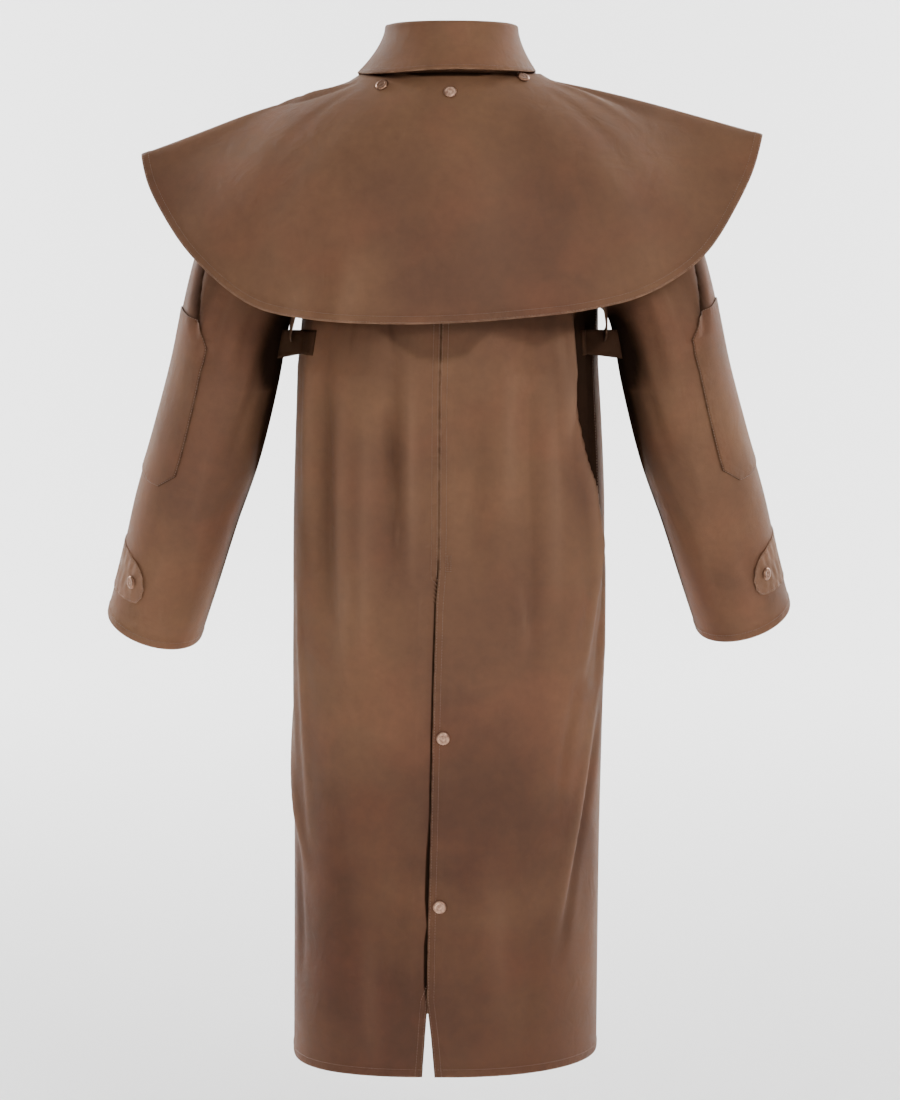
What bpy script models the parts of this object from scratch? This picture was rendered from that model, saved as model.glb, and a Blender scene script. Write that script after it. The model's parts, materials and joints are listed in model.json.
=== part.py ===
"""Duster coat with a shoulder cape, filled out as it hangs on a wearer who isn't there.

Metres, +Z up. The origin is where the wearer's shoulders carry the coat: the middle of the
neckline, at the height of the nape. The back faces -Y and the wearer's left is -X.
Every piece is a thin wall of cloth: an outer surface worked out from the sizes below, and the
same surface moved inwards by the cloth's thickness.
"""

import math

import bmesh
import bpy
import numpy as np
from mathutils import Vector

# Cloth and seams
CLOTH = 0.0015
SEAM_GAP = 0.0003
LAYER_GAP = 0.0006
LAP_DEPTH = 0.0032
LAP_EASE = 0.014
LAP_REACH = 0.008

# Body of the coat
HEM_Z = -1.226
CHEST_Z = -0.360
BODY_DEPTH = 0.150
BODY_COLUMNS = ("z", "left", "right", "back", "front", "left_power", "right_power")
BODY_SECTIONS = [
    (-1.226, 0.198, 0.186, 0.150, 0.152, 2.8, 2.1),
    (-0.950, 0.196, 0.188, 0.150, 0.152, 2.6, 2.3),
    (-0.750, 0.196, 0.192, 0.150, 0.152, 2.4, 2.4),
    (-0.550, 0.195, 0.194, 0.150, 0.152, 2.4, 2.4),
    (-0.360, 0.189, 0.186, 0.150, 0.150, 2.4, 2.4),
]

# Folds of the body, as troughs (negative) and ridges, by angle from the centre back
FOLD_COLUMNS = ("angle", "drift", "top", "bottom", "spread", "depth")
BODY_FOLDS = [
    (-58, 3, -0.30, -0.72, 7, -0.0055),
    (-41, -2, -0.34, -0.95, 7, 0.0030),
    (-27, 0, -0.32, -0.66, 5, -0.0035),
    (-80, 14, -0.66, -1.06, 6, 0.0040),
    (-72, 10, -0.70, -1.16, 6, -0.0035),
    (38, 2, -0.32, -0.72, 6, -0.0030),
    (52, 4, -0.34, -0.80, 8, 0.0040),
    (64, 6, -0.26, -0.52, 5, 0.0060),
    (76, 2, -0.24, -0.56, 6, -0.0130),
    (80, -14, -0.60, -0.98, 6, 0.0045),
    (72, -10, -0.72, -1.12, 6, -0.0035),
    (118, 6, -0.34, -1.00, 8, -0.0050),
    (150, -4, -0.34, -0.90, 8, -0.0045),
    (-124, -4, -0.34, -1.05, 8, -0.0050),
    (-148, 5, -0.30, -0.80, 8, -0.0040),
]

# Centre back: the seam, then the lapped edges of the vent below it
VENT_TOP_Z = -0.593
VENT_TURN = 0.012
EDGE_COLUMNS = ("z", "over", "under")
BACK_EDGES = [
    (-1.226, -0.0190, -0.0340),
    (-1.175, -0.0232, -0.0308),
    (-1.130, -0.0282, -0.0275),
    (-1.070, -0.0273, -0.0030),
    (-1.020, -0.0264, 0.0100),
    (-0.940, -0.0242, 0.0120),
    (-0.753, -0.0203, 0.0120),
    (-0.635, -0.0170, 0.0120),
    (-0.605, -0.0145, -0.0145),
    (-0.593, -0.0140, -0.0140),
    (-0.550, -0.0133, -0.0133),
    (-0.380, -0.0125, -0.0125),
    (-0.360, -0.0120, -0.0120),
]
NECK_SEAM_X = -0.001
FRONT_LAP = 0.030

# Shoulders, armholes and neckline, on the wearer's right; the left mirrors them
NECK_HALF_WIDTH = 0.088
NECK_BACK_DEPTH = 0.078
NECK_FRONT_DEPTH = 0.082
NECK_FRONT_DROP = 0.082
NECK_SIDE_DROP = 0.004
SHOULDER = (0.205, 0.0, -0.045)
ARMPIT = (0.182, 0.0, -0.285)
ARMHOLE_BACK = [(0.179, -0.082, -0.274), (0.170, -0.118, -0.105)]
ARMHOLE_FRONT = [(0.178, 0.078, -0.274), (0.164, 0.110, -0.110)]
BACK_PROFILE = [(-0.155, -0.220), (-0.150, -0.080)]
FRONT_PROFILE = [(0.156, -0.270), (0.132, -0.165)]
SHOULDER_RISE = 0.004
SEAM_SHARE = 0.22
NECK_SHARE = 0.42

# Sleeves: rings across the arm from below the armpit to the cuff
RING_COLUMNS = ("ring", "x", "y", "z", "half_width", "half_depth")
SLEEVE_RINGS = [
    (1, 0.2690, 0.004, -0.315, 0.067, 0.080),
    (2, 0.2815, 0.014, -0.375, 0.068, 0.079),
    (3, 0.3045, 0.032, -0.460, 0.069, 0.077),
    (4, 0.3310, 0.052, -0.540, 0.067, 0.074),
    (5, 0.3540, 0.074, -0.620, 0.064, 0.071),
    (6, 0.3780, 0.099, -0.697, 0.062, 0.069),
]
SLEEVE_ENDS = {-1: 6.0, 1: 5.86}
SLEEVE_FOLD_COLUMNS = ("turn", "drift", "top", "bottom", "spread", "depth")
SLEEVE_FOLDS = [
    (0.290, 0.02, 0.20, 1.70, 0.030, -0.0070),
    (0.225, 0.02, 0.30, 2.20, 0.030, 0.0035),
    (0.120, 0.03, 0.60, 2.90, 0.035, -0.0050),
    (0.190, 0.02, 2.20, 4.40, 0.040, -0.0030),
    (0.240, -0.05, 3.60, 5.60, 0.035, -0.0030),
    (0.700, 0.04, 0.50, 3.20, 0.040, -0.0050),
    (0.860, -0.04, 2.40, 4.60, 0.040, -0.0040),
]

# Elbow patch: rows along the sleeve, with its two edges as turns round the arm
PATCH_COLUMNS = ("ring", "inner", "outer")
PATCH_ROWS = {
    -1: [
        (0.93, 0.365, 0.475),
        (0.94, 0.349, 0.490),
        (1.19, 0.312, 0.527),
        (3.32, 0.302, 0.537),
        (3.58, 0.345, 0.492),
        (3.62, 0.385, 0.455),
    ],
    1: [
        (0.89, 0.365, 0.475),
        (0.90, 0.350, 0.490),
        (1.02, 0.314, 0.525),
        (3.22, 0.302, 0.537),
        (3.48, 0.345, 0.492),
        (3.52, 0.385, 0.455),
    ],
}
PATCH_STEPS = (1, 5, 0, 5, 1)
PATCH_LIFT = 0.0016
PATCH_CLOTH = 0.0012
PATCH_NARROWEST = 0.0028

# Cuff tab: stations from its tip round the outside of the arm, edges measured up from the hem
TAB_COLUMNS = ("turn", "low", "high", "lift")
TAB_ROWS = [
    (0.306, 0.060, 0.070, 0.0032),
    (0.318, 0.050, 0.084, 0.0028),
    (0.350, 0.0465, 0.096, 0.0020),
    (0.410, 0.043, 0.102, 0.0006),
    (0.500, 0.039, 0.104, 0.0006),
    (0.750, 0.036, 0.100, 0.0006),
]
TAB_SNAP_TURN = 0.353
TAB_SNAP_SHARE = 0.5
RING_SPACING = 0.0815

# Collar: a stand that rises from the neckline and a fall that turns down over it
COLLAR_CLOTH = 0.0020
COLLAR_INSET = 0.0042
COLLAR_FOOT = 0.0006
FOLD_RADIUS = 0.0035
FOLD_START, FOLD_END = 0.45, 0.55
FALL_FLARE = 1.6
COLLAR_END = 172
COLLAR_COLUMNS = ("turn", "fold_width", "fold_depth", "fold_z", "edge_width", "edge_depth", "edge_z")
COLLAR_RIBS = [
    (-172, 0.080, 0.074, -0.050, 0.135, 0.131, -0.108),
    (-155, 0.080, 0.074, -0.038, 0.121, 0.117, -0.082),
    (-140, 0.080, 0.074, -0.020, 0.113, 0.108, -0.059),
    (-125, 0.080, 0.074, 0.004, 0.110, 0.104, -0.037),
    (-110, 0.080, 0.074, 0.032, 0.110, 0.102, -0.0155),
    (-90, 0.0800, 0.075, 0.0570, 0.1135, 0.101, 0.0014),
    (-70, 0.0806, 0.0755, 0.0605, 0.1125, 0.101, 0.0008),
    (-45, 0.0815, 0.076, 0.0630, 0.1095, 0.101, 0.0024),
    (0, 0.0830, 0.076, 0.0645, 0.1095, 0.100, 0.0070),
    (45, 0.0850, 0.076, 0.0630, 0.1090, 0.101, 0.0048),
    (70, 0.0847, 0.0755, 0.0605, 0.1065, 0.101, 0.0032),
    (90, 0.0840, 0.075, 0.0560, 0.1055, 0.101, 0.0034),
    (110, 0.084, 0.074, 0.032, 0.108, 0.102, -0.0145),
    (125, 0.081, 0.074, 0.004, 0.110, 0.104, -0.037),
    (140, 0.080, 0.074, -0.020, 0.113, 0.108, -0.059),
    (155, 0.080, 0.074, -0.038, 0.121, 0.117, -0.082),
    (172, 0.080, 0.074, -0.050, 0.135, 0.131, -0.108),
]

# Cape: ribs from the neck edge to the hem, by turn round the neck from the centre back
CAPE_NECK_OUT = 0.0030
CAPE_NECK_UP = 0.0021
CAPE_FRONT_RISE = 0.0032
CAPE_ROLL_AT, CAPE_ROLL_WIDTH = 0.055, 0.035
CAPE_ROLL_COLUMNS = ("turn", "height")
CAPE_ROLL = [
    (0, 0.0),
    (30, 0.0005),
    (45, 0.0045),
    (60, 0.0060),
    (90, 0.0060),
    (110, 0.0040),
    (130, 0.0),
    (180, 0.0),
]
CAPE_END = 168
CAPE_COLUMNS = ("turn", "x", "y", "z", "start_dip", "end_dip")
CAPE_RIBS = [
    (-168, -0.070, 0.192, -0.330, 38, 88),
    (-152, -0.142, 0.186, -0.315, 34, 86),
    (-138, -0.214, 0.166, -0.289, 28, 82),
    (-122, -0.288, 0.120, -0.245, 21, 66),
    (-108, -0.344, 0.068, -0.176, 15, 42),
    (-98, -0.372, 0.030, -0.127, 13, 26),
    (-90, -0.3806, 0.002, -0.098, 11, 19),
    (-82, -0.3719, -0.026, -0.130, 13, 27),
    (-72, -0.3500, -0.058, -0.170, 15, 42),
    (-58, -0.3083, -0.102, -0.2226, 21, 62),
    (-43, -0.2400, -0.142, -0.2740, 29, 78),
    (-28, -0.1650, -0.163, -0.2905, 35, 84),
    (-14, -0.0850, -0.171, -0.2950, 38, 87),
    (0, 0.0000, -0.173, -0.2940, 40, 88),
    (14, 0.0850, -0.171, -0.2880, 38, 87),
    (28, 0.1650, -0.162, -0.2790, 34, 84),
    (43, 0.2400, -0.138, -0.2600, 27, 76),
    (58, 0.3071, -0.100, -0.2178, 18, 59),
    (72, 0.3500, -0.058, -0.1580, 11, 38),
    (82, 0.3734, -0.028, -0.1120, 9, 24),
    (90, 0.3853, 0.002, -0.0733, 9, 15),
    (98, 0.3760, 0.032, -0.1100, 10, 24),
    (108, 0.3480, 0.070, -0.1640, 13, 40),
    (122, 0.2900, 0.120, -0.2380, 20, 64),
    (138, 0.2140, 0.166, -0.2890, 28, 82),
    (152, 0.1420, 0.186, -0.3150, 34, 86),
    (168, 0.0700, 0.192, -0.3300, 38, 88),
]

# Snaps
SNAP_RADIUS = 0.0082
SNAP_HEIGHT = 0.0032
SNAP_SIDES = 14
SNAP_STAND_OFF = 0.0009
SNAP_TAPER, SNAP_DOME_INSET = 0.86, 0.40
SNAP_RIM_SHARE = 0.60
SHARP_ANGLE = 40

# Colours as linear red, green and blue, with roughness and metallic
CLOTH_BROWN = ((0.205, 0.105, 0.062), 0.72, 0.0)
CLOTH_DARK = ((0.150, 0.078, 0.048), 0.75, 0.0)
SNAP_COPPER = ((0.62, 0.47, 0.38), 0.35, 1.0)
VENT_SNAPS = {"vent_snap_upper": (-0.0085, -0.8032), "vent_snap_lower": (-0.0134, -1.0125)}
FRONT_SNAP_X = 0.010
FRONT_SNAP_Z = (-0.150, -0.290, -0.430, -0.570, -0.710)
CAPE_SNAPS = {
    "cape_snap_back": (-0.5, 0.102),
    "cape_snap_left": (-42, 0.077),
    "cape_snap_right": (50, 0.067),
    "cape_snap_front_left": (-163, 0.150),
    "cape_snap_front_right": (163, 0.150),
}

# Underarm: a tab sewn to the body's side that holds the sleeve, and the cape's strap down to it
TAB_FIRST_COLUMN, TAB_LAST_COLUMN = 10, 12
TAB_LOW_SHARE, TAB_HIGH_SHARE = 0.24, 0.61
TAB_SLEEVE_Z = (-0.3120, -0.3480)
TAB_SLEEVE_TURN = 0.065
STRAP_ON_CAPE = (32, 0.945)
STRAP_TAB_X = {-1: -0.1950, 1: 0.1900}
STRAP_TAB_Z = -0.3195
STRAP_CAPE_GAP = 0.0020
STRAP_BULGE = 0.0040
STRAP_SAG = 0.0100
STRAP_WIDTH = 0.014
STRAP_CLOTH = 0.0022

# Mesh density
SKIRT_ROWS = 10
WAIST_ROWS = 4
ARMHOLE_ROWS = 12
PANEL_COLUMNS = 14
CAP_ROWS = 6
SLEEVE_ROWS = 10
COLLAR_STATIONS = 30
CAPE_STATIONS = 44
CAPE_LINES = (0, 0.030, 0.060, 0.110, 0.250, 0.375, 0.500, 0.625, 0.750, 0.875, 1)


def column(table, columns, name):
    return np.array([row[columns.index(name)] for row in table], float)


def follow(table, columns, name, at):
    """One column of a table, read smoothly at any place along the table's first column."""
    places = column(table, columns, columns[0])
    values = column(table, columns, name)
    slopes = np.gradient(values, places)
    at = np.clip(np.asarray(at, float), places[0], places[-1])
    i = np.clip(np.searchsorted(places, at, side="right") - 1, 0, len(places) - 2)
    span = places[i + 1] - places[i]
    t = (at - places[i]) / span
    rise = t * t * (3 - 2 * t)
    return (
        values[i] * (1 - rise)
        + values[i + 1] * rise
        + slopes[i] * span * t * (1 - t) ** 2
        - slopes[i + 1] * span * t * t * (1 - t)
    )


def straight(table, columns, name, at):
    """One column of a table, read along straight lines between its rows."""
    return np.interp(at, column(table, columns, columns[0]), column(table, columns, name))


def ease(t):
    t = np.clip(t, 0, 1)
    return t * t * (3 - 2 * t)


def point(x, y, z):
    x, y, z = np.broadcast_arrays(x, y, z)
    return np.stack([x, y, z], -1).astype(float)


def unit(v):
    return v / np.maximum(np.linalg.norm(v, axis=-1, keepdims=True), 1e-12)


def bezier(a, b, c, d, t):
    t = np.asarray(t, float)[..., None]
    a, b, c, d = (np.asarray(p, float) for p in (a, b, c, d))
    return a * (1 - t) ** 3 + 3 * b * t * (1 - t) ** 2 + 3 * c * t * t * (1 - t) + d * t**3


def fold_relief(table, columns, across, along):
    """Sum of the troughs and ridges in a fold table. Each one fades out at both of its ends."""
    relief = np.zeros(np.broadcast(across, along).shape)
    for row in table:
        place, drift, top, bottom, spread, depth = row
        share = (along - top) / (bottom - top)
        middle = place + drift * np.clip(share, 0, 1)
        fade = np.sin(np.pi * np.clip(share, 0, 1)) ** 0.8
        relief = relief + depth * fade * np.exp(-(((across - middle) / spread) ** 2))
    return relief


def body_point(angle, z):
    """Outer point of the body: 0 degrees at the centre back, 90 at the right side, 180 in front."""
    angle, z = np.broadcast_arrays(np.asarray(angle, float), np.asarray(z, float))
    sizes = (follow(BODY_SECTIONS, BODY_COLUMNS, n, z) for n in BODY_COLUMNS[1:])
    left, right, back, front, left_power, right_power = sizes
    width = np.where(angle < 0, left, right)
    power = np.where(angle < 0, left_power, right_power)
    depth = np.where(np.abs(angle) < 90, back, front)
    s, c = np.sin(np.radians(angle)), np.cos(np.radians(angle))
    radius = ((np.abs(s) / width) ** power + (np.abs(c) / depth) ** power) ** (-1 / power)
    radius = radius + fold_relief(BODY_FOLDS, FOLD_COLUMNS, angle, z)
    return point(radius * s, -radius * c, z)


def neck_point(turn):
    """Neckline by turn from the centre back, in degrees; it drops towards the front."""
    turn = np.asarray(turn, float)
    s, c = np.sin(np.radians(turn)), np.cos(np.radians(turn))
    depth = np.where(c > 0, NECK_BACK_DEPTH, NECK_FRONT_DEPTH)
    front_share = np.clip(-c, 0, 1)
    z = -NECK_SIDE_DROP * np.abs(s) ** 2 * (c > 0) - np.where(
        c > 0, 0, NECK_SIDE_DROP + NECK_FRONT_DROP * front_share**1.3 - NECK_SIDE_DROP * front_share
    )
    return point(NECK_HALF_WIDTH * s, -depth * c, z)


def armhole(turn, side):
    """Armhole seam: turn 0 at the armpit, up the back to 0.5 at the shoulder, down the front to 1."""
    turn = np.asarray(turn, float)
    back = bezier(ARMPIT, *ARMHOLE_BACK, SHOULDER, np.clip(turn * 2, 0, 1))
    front = bezier(ARMPIT, *ARMHOLE_FRONT, SHOULDER, np.clip(2 - turn * 2, 0, 1))
    return np.where((turn <= 0.5)[..., None], back, front) * [side, 1, 1]


class Panel:
    """A front or back of the body: side is +1 on the wearer's right, over is True for the lap on top."""

    def __init__(self, side, is_front, over):
        self.side, self.is_front, self.over = side, is_front, over

    def low_point(self, u, z):
        """From the hem up to the chest. The centre edge's own place fades out across the panel."""
        if self.is_front:
            return body_point(self.side * (180 - 90 * u), z)
        edge = straight(BACK_EDGES, EDGE_COLUMNS, "over" if self.over else "under", z)
        past = np.degrees(np.arcsin(edge / BODY_DEPTH)) * self.side * (1 - u) ** 4
        return body_point(self.side * (90 * u + past), z)

    def top_edge(self, u):
        """Neckline from the centre edge to the shoulder, then the shoulder seam."""
        start = 180.0 if self.is_front else math.degrees(math.asin(NECK_SEAM_X / NECK_HALF_WIDTH)) * self.side
        neck = neck_point(self.side * (start + (90 - start) * np.clip(u / NECK_SHARE, 0, 1)))
        along = np.clip((u - NECK_SHARE) / (1 - NECK_SHARE), 0, 1)[..., None]
        corner = neck_point(90.0 * self.side)
        seam = corner + (np.array(SHOULDER) * [self.side, 1, 1] - corner) * along
        seam[..., 2] += SHOULDER_RISE * np.sin(np.pi * along[..., 0])
        return np.where((u <= NECK_SHARE)[..., None], neck, seam)

    def centre_edge(self, v):
        bottom = self.low_point(np.zeros(1), np.full(1, CHEST_Z))[0]
        top = self.top_edge(np.zeros(1))[0]
        profile = FRONT_PROFILE if self.is_front else BACK_PROFILE
        inner = [(bottom[0] + (top[0] - bottom[0]) * share, *yz) for share, yz in zip((0.33, 0.66), profile)]
        return bezier(bottom, inner[0], inner[1], top, v)

    def side_edge(self, v):
        """Side seam up to the armpit, then the armhole up to the shoulder."""
        bottom = self.low_point(np.ones(1), np.full(1, CHEST_Z))[0]
        pit = np.array(ARMPIT) * [self.side, 1, 1]
        seam = bottom + (pit - bottom) * np.clip(v / SEAM_SHARE, 0, 1)[..., None]
        t = np.clip((v - SEAM_SHARE) / (1 - SEAM_SHARE), 0, 1)
        hole = armhole(1 - t / 2 if self.is_front else t / 2, self.side)
        return np.where((v <= SEAM_SHARE)[..., None], seam, hole)

    def high_point(self, u, v):
        """Above the chest, filled in between the panel's four edges."""
        zero, one, chest = np.zeros(1), np.ones(1), np.full(1, CHEST_Z)
        low, top = self.low_point(u, np.full(u.shape, CHEST_Z)), self.top_edge(u)
        inner, outer = self.centre_edge(v), self.side_edge(v)
        low_in, low_out = self.low_point(zero, chest)[0], self.low_point(one, chest)[0]
        top_in, top_out = self.top_edge(zero)[0], self.top_edge(one)[0]
        u, v = u[..., None], v[..., None]
        between = low * (1 - v) + top * v + inner * (1 - u) + outer * u
        corners = (low_in * (1 - u) + low_out * u) * (1 - v) + (top_in * (1 - u) + top_out * u) * v
        return between - corners

    def half_point(self, u, h):
        z = HEM_Z + (CHEST_Z - HEM_Z) * np.clip(h, 0, 1)
        high = self.high_point(u, np.clip(h - 1, 0, 1))
        return np.where((h <= 1)[..., None], self.low_point(u, z), high)

    def lap(self, x, z):
        """How far the cloth stands out over the other front, or lies in under the other back."""
        if self.is_front:
            shows = LAP_DEPTH * ease((x + FRONT_LAP + LAP_REACH + LAP_EASE) / LAP_EASE)
            return shows if self.over else np.zeros(shows.shape)
        if self.over:
            return np.zeros(np.shape(x))
        cover = straight(BACK_EDGES, EDGE_COLUMNS, "over", z)
        below = ease((VENT_TOP_Z - z) / VENT_TURN)
        return -LAP_DEPTH * below * ease((x - cover + LAP_REACH + LAP_EASE) / LAP_EASE)

    def at(self, u, h):
        """The panel's outer surface: h runs from 0 at the hem to 1 at the chest and 2 at the top."""
        u, h = np.broadcast_arrays(np.asarray(u, float), np.asarray(h, float))
        if self.is_front:
            past_low = math.degrees(math.asin(FRONT_LAP / BODY_DEPTH)) / 90
            past_top = math.degrees(math.asin(FRONT_LAP / NECK_HALF_WIDTH)) / 90 * NECK_SHARE
            past = past_low + (past_top - past_low) * np.clip(h - 1, 0, 1)
            u = (1 + past) * u - past
            other = Panel(-self.side, True, self.over).half_point(np.maximum(-u, 0), h)
            p = np.where((u < 0)[..., None], other, self.half_point(np.maximum(u, 0), h))
        else:
            p = self.half_point(u, h)
        grown = 1 + self.lap(p[..., 0], p[..., 2]) / np.linalg.norm(p[..., :2], axis=-1)
        p[..., :2] *= grown[..., None]
        return p


def sleeve_axis(ring):
    """Centre, half width, half depth and the three axes of a ring of the right sleeve."""
    centre = point(*(follow(SLEEVE_RINGS, RING_COLUMNS, n, ring) for n in ("x", "y", "z")))
    step = 0.02
    ahead = point(*(follow(SLEEVE_RINGS, RING_COLUMNS, n, np.clip(ring + step, 1, 6)) for n in ("x", "y", "z")))
    before = np.clip(ring - step, 1, 6)
    behind = point(*(follow(SLEEVE_RINGS, RING_COLUMNS, n, before) for n in ("x", "y", "z")))
    along = unit(ahead - behind)
    outward = unit(np.cross(along, np.broadcast_to([0.0, 1.0, 0.0], along.shape)))
    forward = unit(np.cross(outward, along))
    width = follow(SLEEVE_RINGS, RING_COLUMNS, "half_width", ring)
    depth = follow(SLEEVE_RINGS, RING_COLUMNS, "half_depth", ring)
    return centre, width, depth, along, outward, forward


def sleeve_point(turn, ring, side):
    """Outer point of a sleeve: turn 0 towards the body, 0.25 at the back, 0.5 outside, 0.75 in front.

    ring runs from 0 at the armhole through 1, below the armpit, to 6 at the left cuff.
    """
    turn, ring = np.broadcast_arrays(np.asarray(turn, float), np.asarray(ring, float))
    low = np.clip(ring, 1, 6)
    centre, width, depth, along, outward, forward = sleeve_axis(low)
    phase = 2 * np.pi * turn
    relief = fold_relief(SLEEVE_FOLDS, SLEEVE_FOLD_COLUMNS, turn % 1.0, ring)
    spoke = -outward * np.cos(phase)[..., None] - forward * np.sin(phase)[..., None]
    ringed = (
        centre
        - outward * (width * np.cos(phase))[..., None]
        - forward * (depth * np.sin(phase))[..., None]
    )
    seam = armhole(turn % 1.0, 1)
    reach = np.linalg.norm(ringed - seam, axis=-1)[..., None]
    dip = 0.475 - 0.125 * np.cos(phase)
    leave = unit(point(0.85 * np.ones(phase.shape), 0, -dip)) * reach
    arrive = along * reach
    t = np.clip(ring, 0, 1)[..., None]
    rise = t * t * (3 - 2 * t)
    cap = seam * (1 - rise) + ringed * rise + leave * t * (1 - t) ** 2 - arrive * t * t * (1 - t)
    p = np.where((ring < 1)[..., None], cap, ringed) + spoke * (relief * ease(ring / 0.5))[..., None]
    return p * [side, 1, 1]


def collar_point(turn, s):
    """Outer face of the collar: s 0 at the stand's foot, 0.45 to 0.55 over the fold, 1 at the fall's edge."""
    turn, s = np.broadcast_arrays(np.asarray(turn, float), np.asarray(s, float))
    fold_w, fold_d, fold_z, edge_w, edge_d, edge_z = (
        follow(COLLAR_RIBS, COLLAR_COLUMNS, n, turn) for n in COLLAR_COLUMNS[1:]
    )
    sin, cos = np.sin(np.radians(turn)), np.cos(np.radians(turn))
    foot = neck_point(turn) * [1 - COLLAR_INSET / NECK_HALF_WIDTH, 1 - COLLAR_INSET / NECK_BACK_DEPTH, 1]
    foot = foot - [0, 0, COLLAR_FOOT]
    stand_top = point((fold_w - 2 * FOLD_RADIUS) * sin, -(fold_d - 2 * FOLD_RADIUS) * cos, fold_z - FOLD_RADIUS)
    fall_top = point(fold_w * sin, -fold_d * cos, fold_z - FOLD_RADIUS)
    edge = point(edge_w * sin, -edge_d * cos, edge_z)
    up = np.clip(s / FOLD_START, 0, 1)[..., None]
    over = np.pi * np.clip((s - FOLD_START) / (FOLD_END - FOLD_START), 0, 1)
    down = np.clip((s - FOLD_END) / (1 - FOLD_END), 0, 1)
    stand = foot + (stand_top - foot) * up
    arc = (stand_top + fall_top) / 2 - (fall_top - stand_top) / 2 * np.cos(over)[..., None]
    arc[..., 2] += FOLD_RADIUS * np.sin(over)
    flared = down**FALL_FLARE
    fall = fall_top + (edge - fall_top) * np.stack([flared, flared, down], axis=-1)
    return np.where((s < FOLD_START)[..., None], stand, np.where((s > FOLD_END)[..., None], fall, arc))


def cape_point(turn, s):
    """Outer face of the cape: s 0 at its neck edge and 1 at its hem, along one rib."""
    turn, s = np.broadcast_arrays(np.asarray(turn, float), np.asarray(s, float))
    hem = point(*(follow(CAPE_RIBS, CAPE_COLUMNS, n, turn) for n in ("x", "y", "z")))
    start_dip = np.radians(follow(CAPE_RIBS, CAPE_COLUMNS, "start_dip", turn))
    end_dip = np.radians(follow(CAPE_RIBS, CAPE_COLUMNS, "end_dip", turn))
    sin, cos = np.sin(np.radians(turn)), np.cos(np.radians(turn))
    rise = CAPE_NECK_UP + CAPE_FRONT_RISE * ease((np.abs(turn) - 120) / 40)
    neck = neck_point(turn) + point(CAPE_NECK_OUT * sin, -CAPE_NECK_OUT * cos, rise)
    chord = hem - neck
    reach = np.linalg.norm(chord, axis=-1)[..., None] * 0.36
    heading = unit(chord * [1, 1, 0])
    start_heading = unit(heading + point(sin, -cos, 0))
    start = start_heading * np.cos(start_dip)[..., None] - point(0, 0, np.sin(start_dip))
    end = heading * np.cos(end_dip)[..., None] - point(0, 0, np.sin(end_dip))
    first, second = neck + start * reach, hem - end * reach
    t = s[..., None]
    rib = neck * (1 - t) ** 3 + 3 * first * t * (1 - t) ** 2 + 3 * second * t * t * (1 - t) + hem * t**3
    roll = follow(CAPE_ROLL, CAPE_ROLL_COLUMNS, "height", np.abs(turn)) * ease(s / CAPE_ROLL_AT)
    return rib + point(0, 0, roll * np.exp(-(((s - CAPE_ROLL_AT) / CAPE_ROLL_WIDTH) ** 2)))


def normals_of(points, wrap=False):
    """Normals of a grid of points, from its neighbours; wrap joins its last column to its first."""
    if wrap:
        across = np.roll(points, -1, axis=1) - np.roll(points, 1, axis=1)
    else:
        across = np.gradient(points, axis=1)
    return unit(np.cross(across, np.gradient(points, axis=0)))


def facing(normals, towards):
    """The normals, turned round if most of them point away from the given directions."""
    return normals if np.sum(normals * towards) > 0 else -normals


class Sheet:
    """A piece's outer surface as a grid, with the values that its rows and columns stand for."""

    def __init__(self, points, normals, rows, columns):
        self.points, self.normals, self.rows, self.columns = points, normals, rows, columns

    def seat(self, row, column):
        """Point and normal at any place on the grid's own facets."""
        row, column = np.broadcast_arrays(np.asarray(row, float), np.asarray(column, float))
        i = np.clip(np.searchsorted(self.rows, row, side="right") - 1, 0, len(self.rows) - 2)
        j = np.clip(np.searchsorted(self.columns, column, side="right") - 1, 0, len(self.columns) - 2)
        a = ((row - self.rows[i]) / (self.rows[i + 1] - self.rows[i]))[..., None]
        b = ((column - self.columns[j]) / (self.columns[j + 1] - self.columns[j]))[..., None]
        found = []
        for grid in (self.points, self.normals):
            near = grid[i, j] * (1 - b) + grid[i, j + 1] * b
            far = grid[i + 1, j] * (1 - b) + grid[i + 1, j + 1] * b
            found.append(near * (1 - a) + far * a)
        return found[0], unit(found[1])

    def place(self, x, z):
        """Row and column values at which the surface passes through an x and a z."""
        row = np.mean(self.rows)
        for _ in range(12):
            middle = self.seat(row, self.columns)[0]
            order = np.argsort(middle[:, 0])
            column = np.interp(x, middle[order, 0], self.columns[order])
            run = self.seat(self.rows, column)[0]
            order = np.argsort(run[:, 2])
            row = np.interp(z, run[order, 2], self.rows[order])
        return row, column


def make_material(name, look):
    colour, roughness, metallic = look
    made = bpy.data.materials.new(name + "_material")
    made.use_nodes = True
    shader = made.node_tree.nodes["Principled BSDF"]
    shader.inputs["Base Color"].default_value = (*colour, 1)
    shader.inputs["Roughness"].default_value = roughness
    shader.inputs["Metallic"].default_value = metallic
    made.diffuse_color = (*colour, 1)
    return made


def finish_object(name, bm, look):
    """Makes a named object of a bmesh, with a material of its own, and its curves shaded smooth."""
    bmesh.ops.recalc_face_normals(bm, faces=bm.faces)
    if bm.calc_volume(signed=True) < 0:
        bmesh.ops.reverse_faces(bm, faces=bm.faces)
    mesh = bpy.data.meshes.new(name)
    bm.to_mesh(mesh)
    bm.free()
    mesh.materials.append(make_material(name, look))
    mesh.shade_smooth()
    mesh.set_sharp_from_angle(angle=math.radians(SHARP_ANGLE))
    made = bpy.data.objects.new(name, mesh)
    bpy.context.scene.collection.objects.link(made)
    return made


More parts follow.
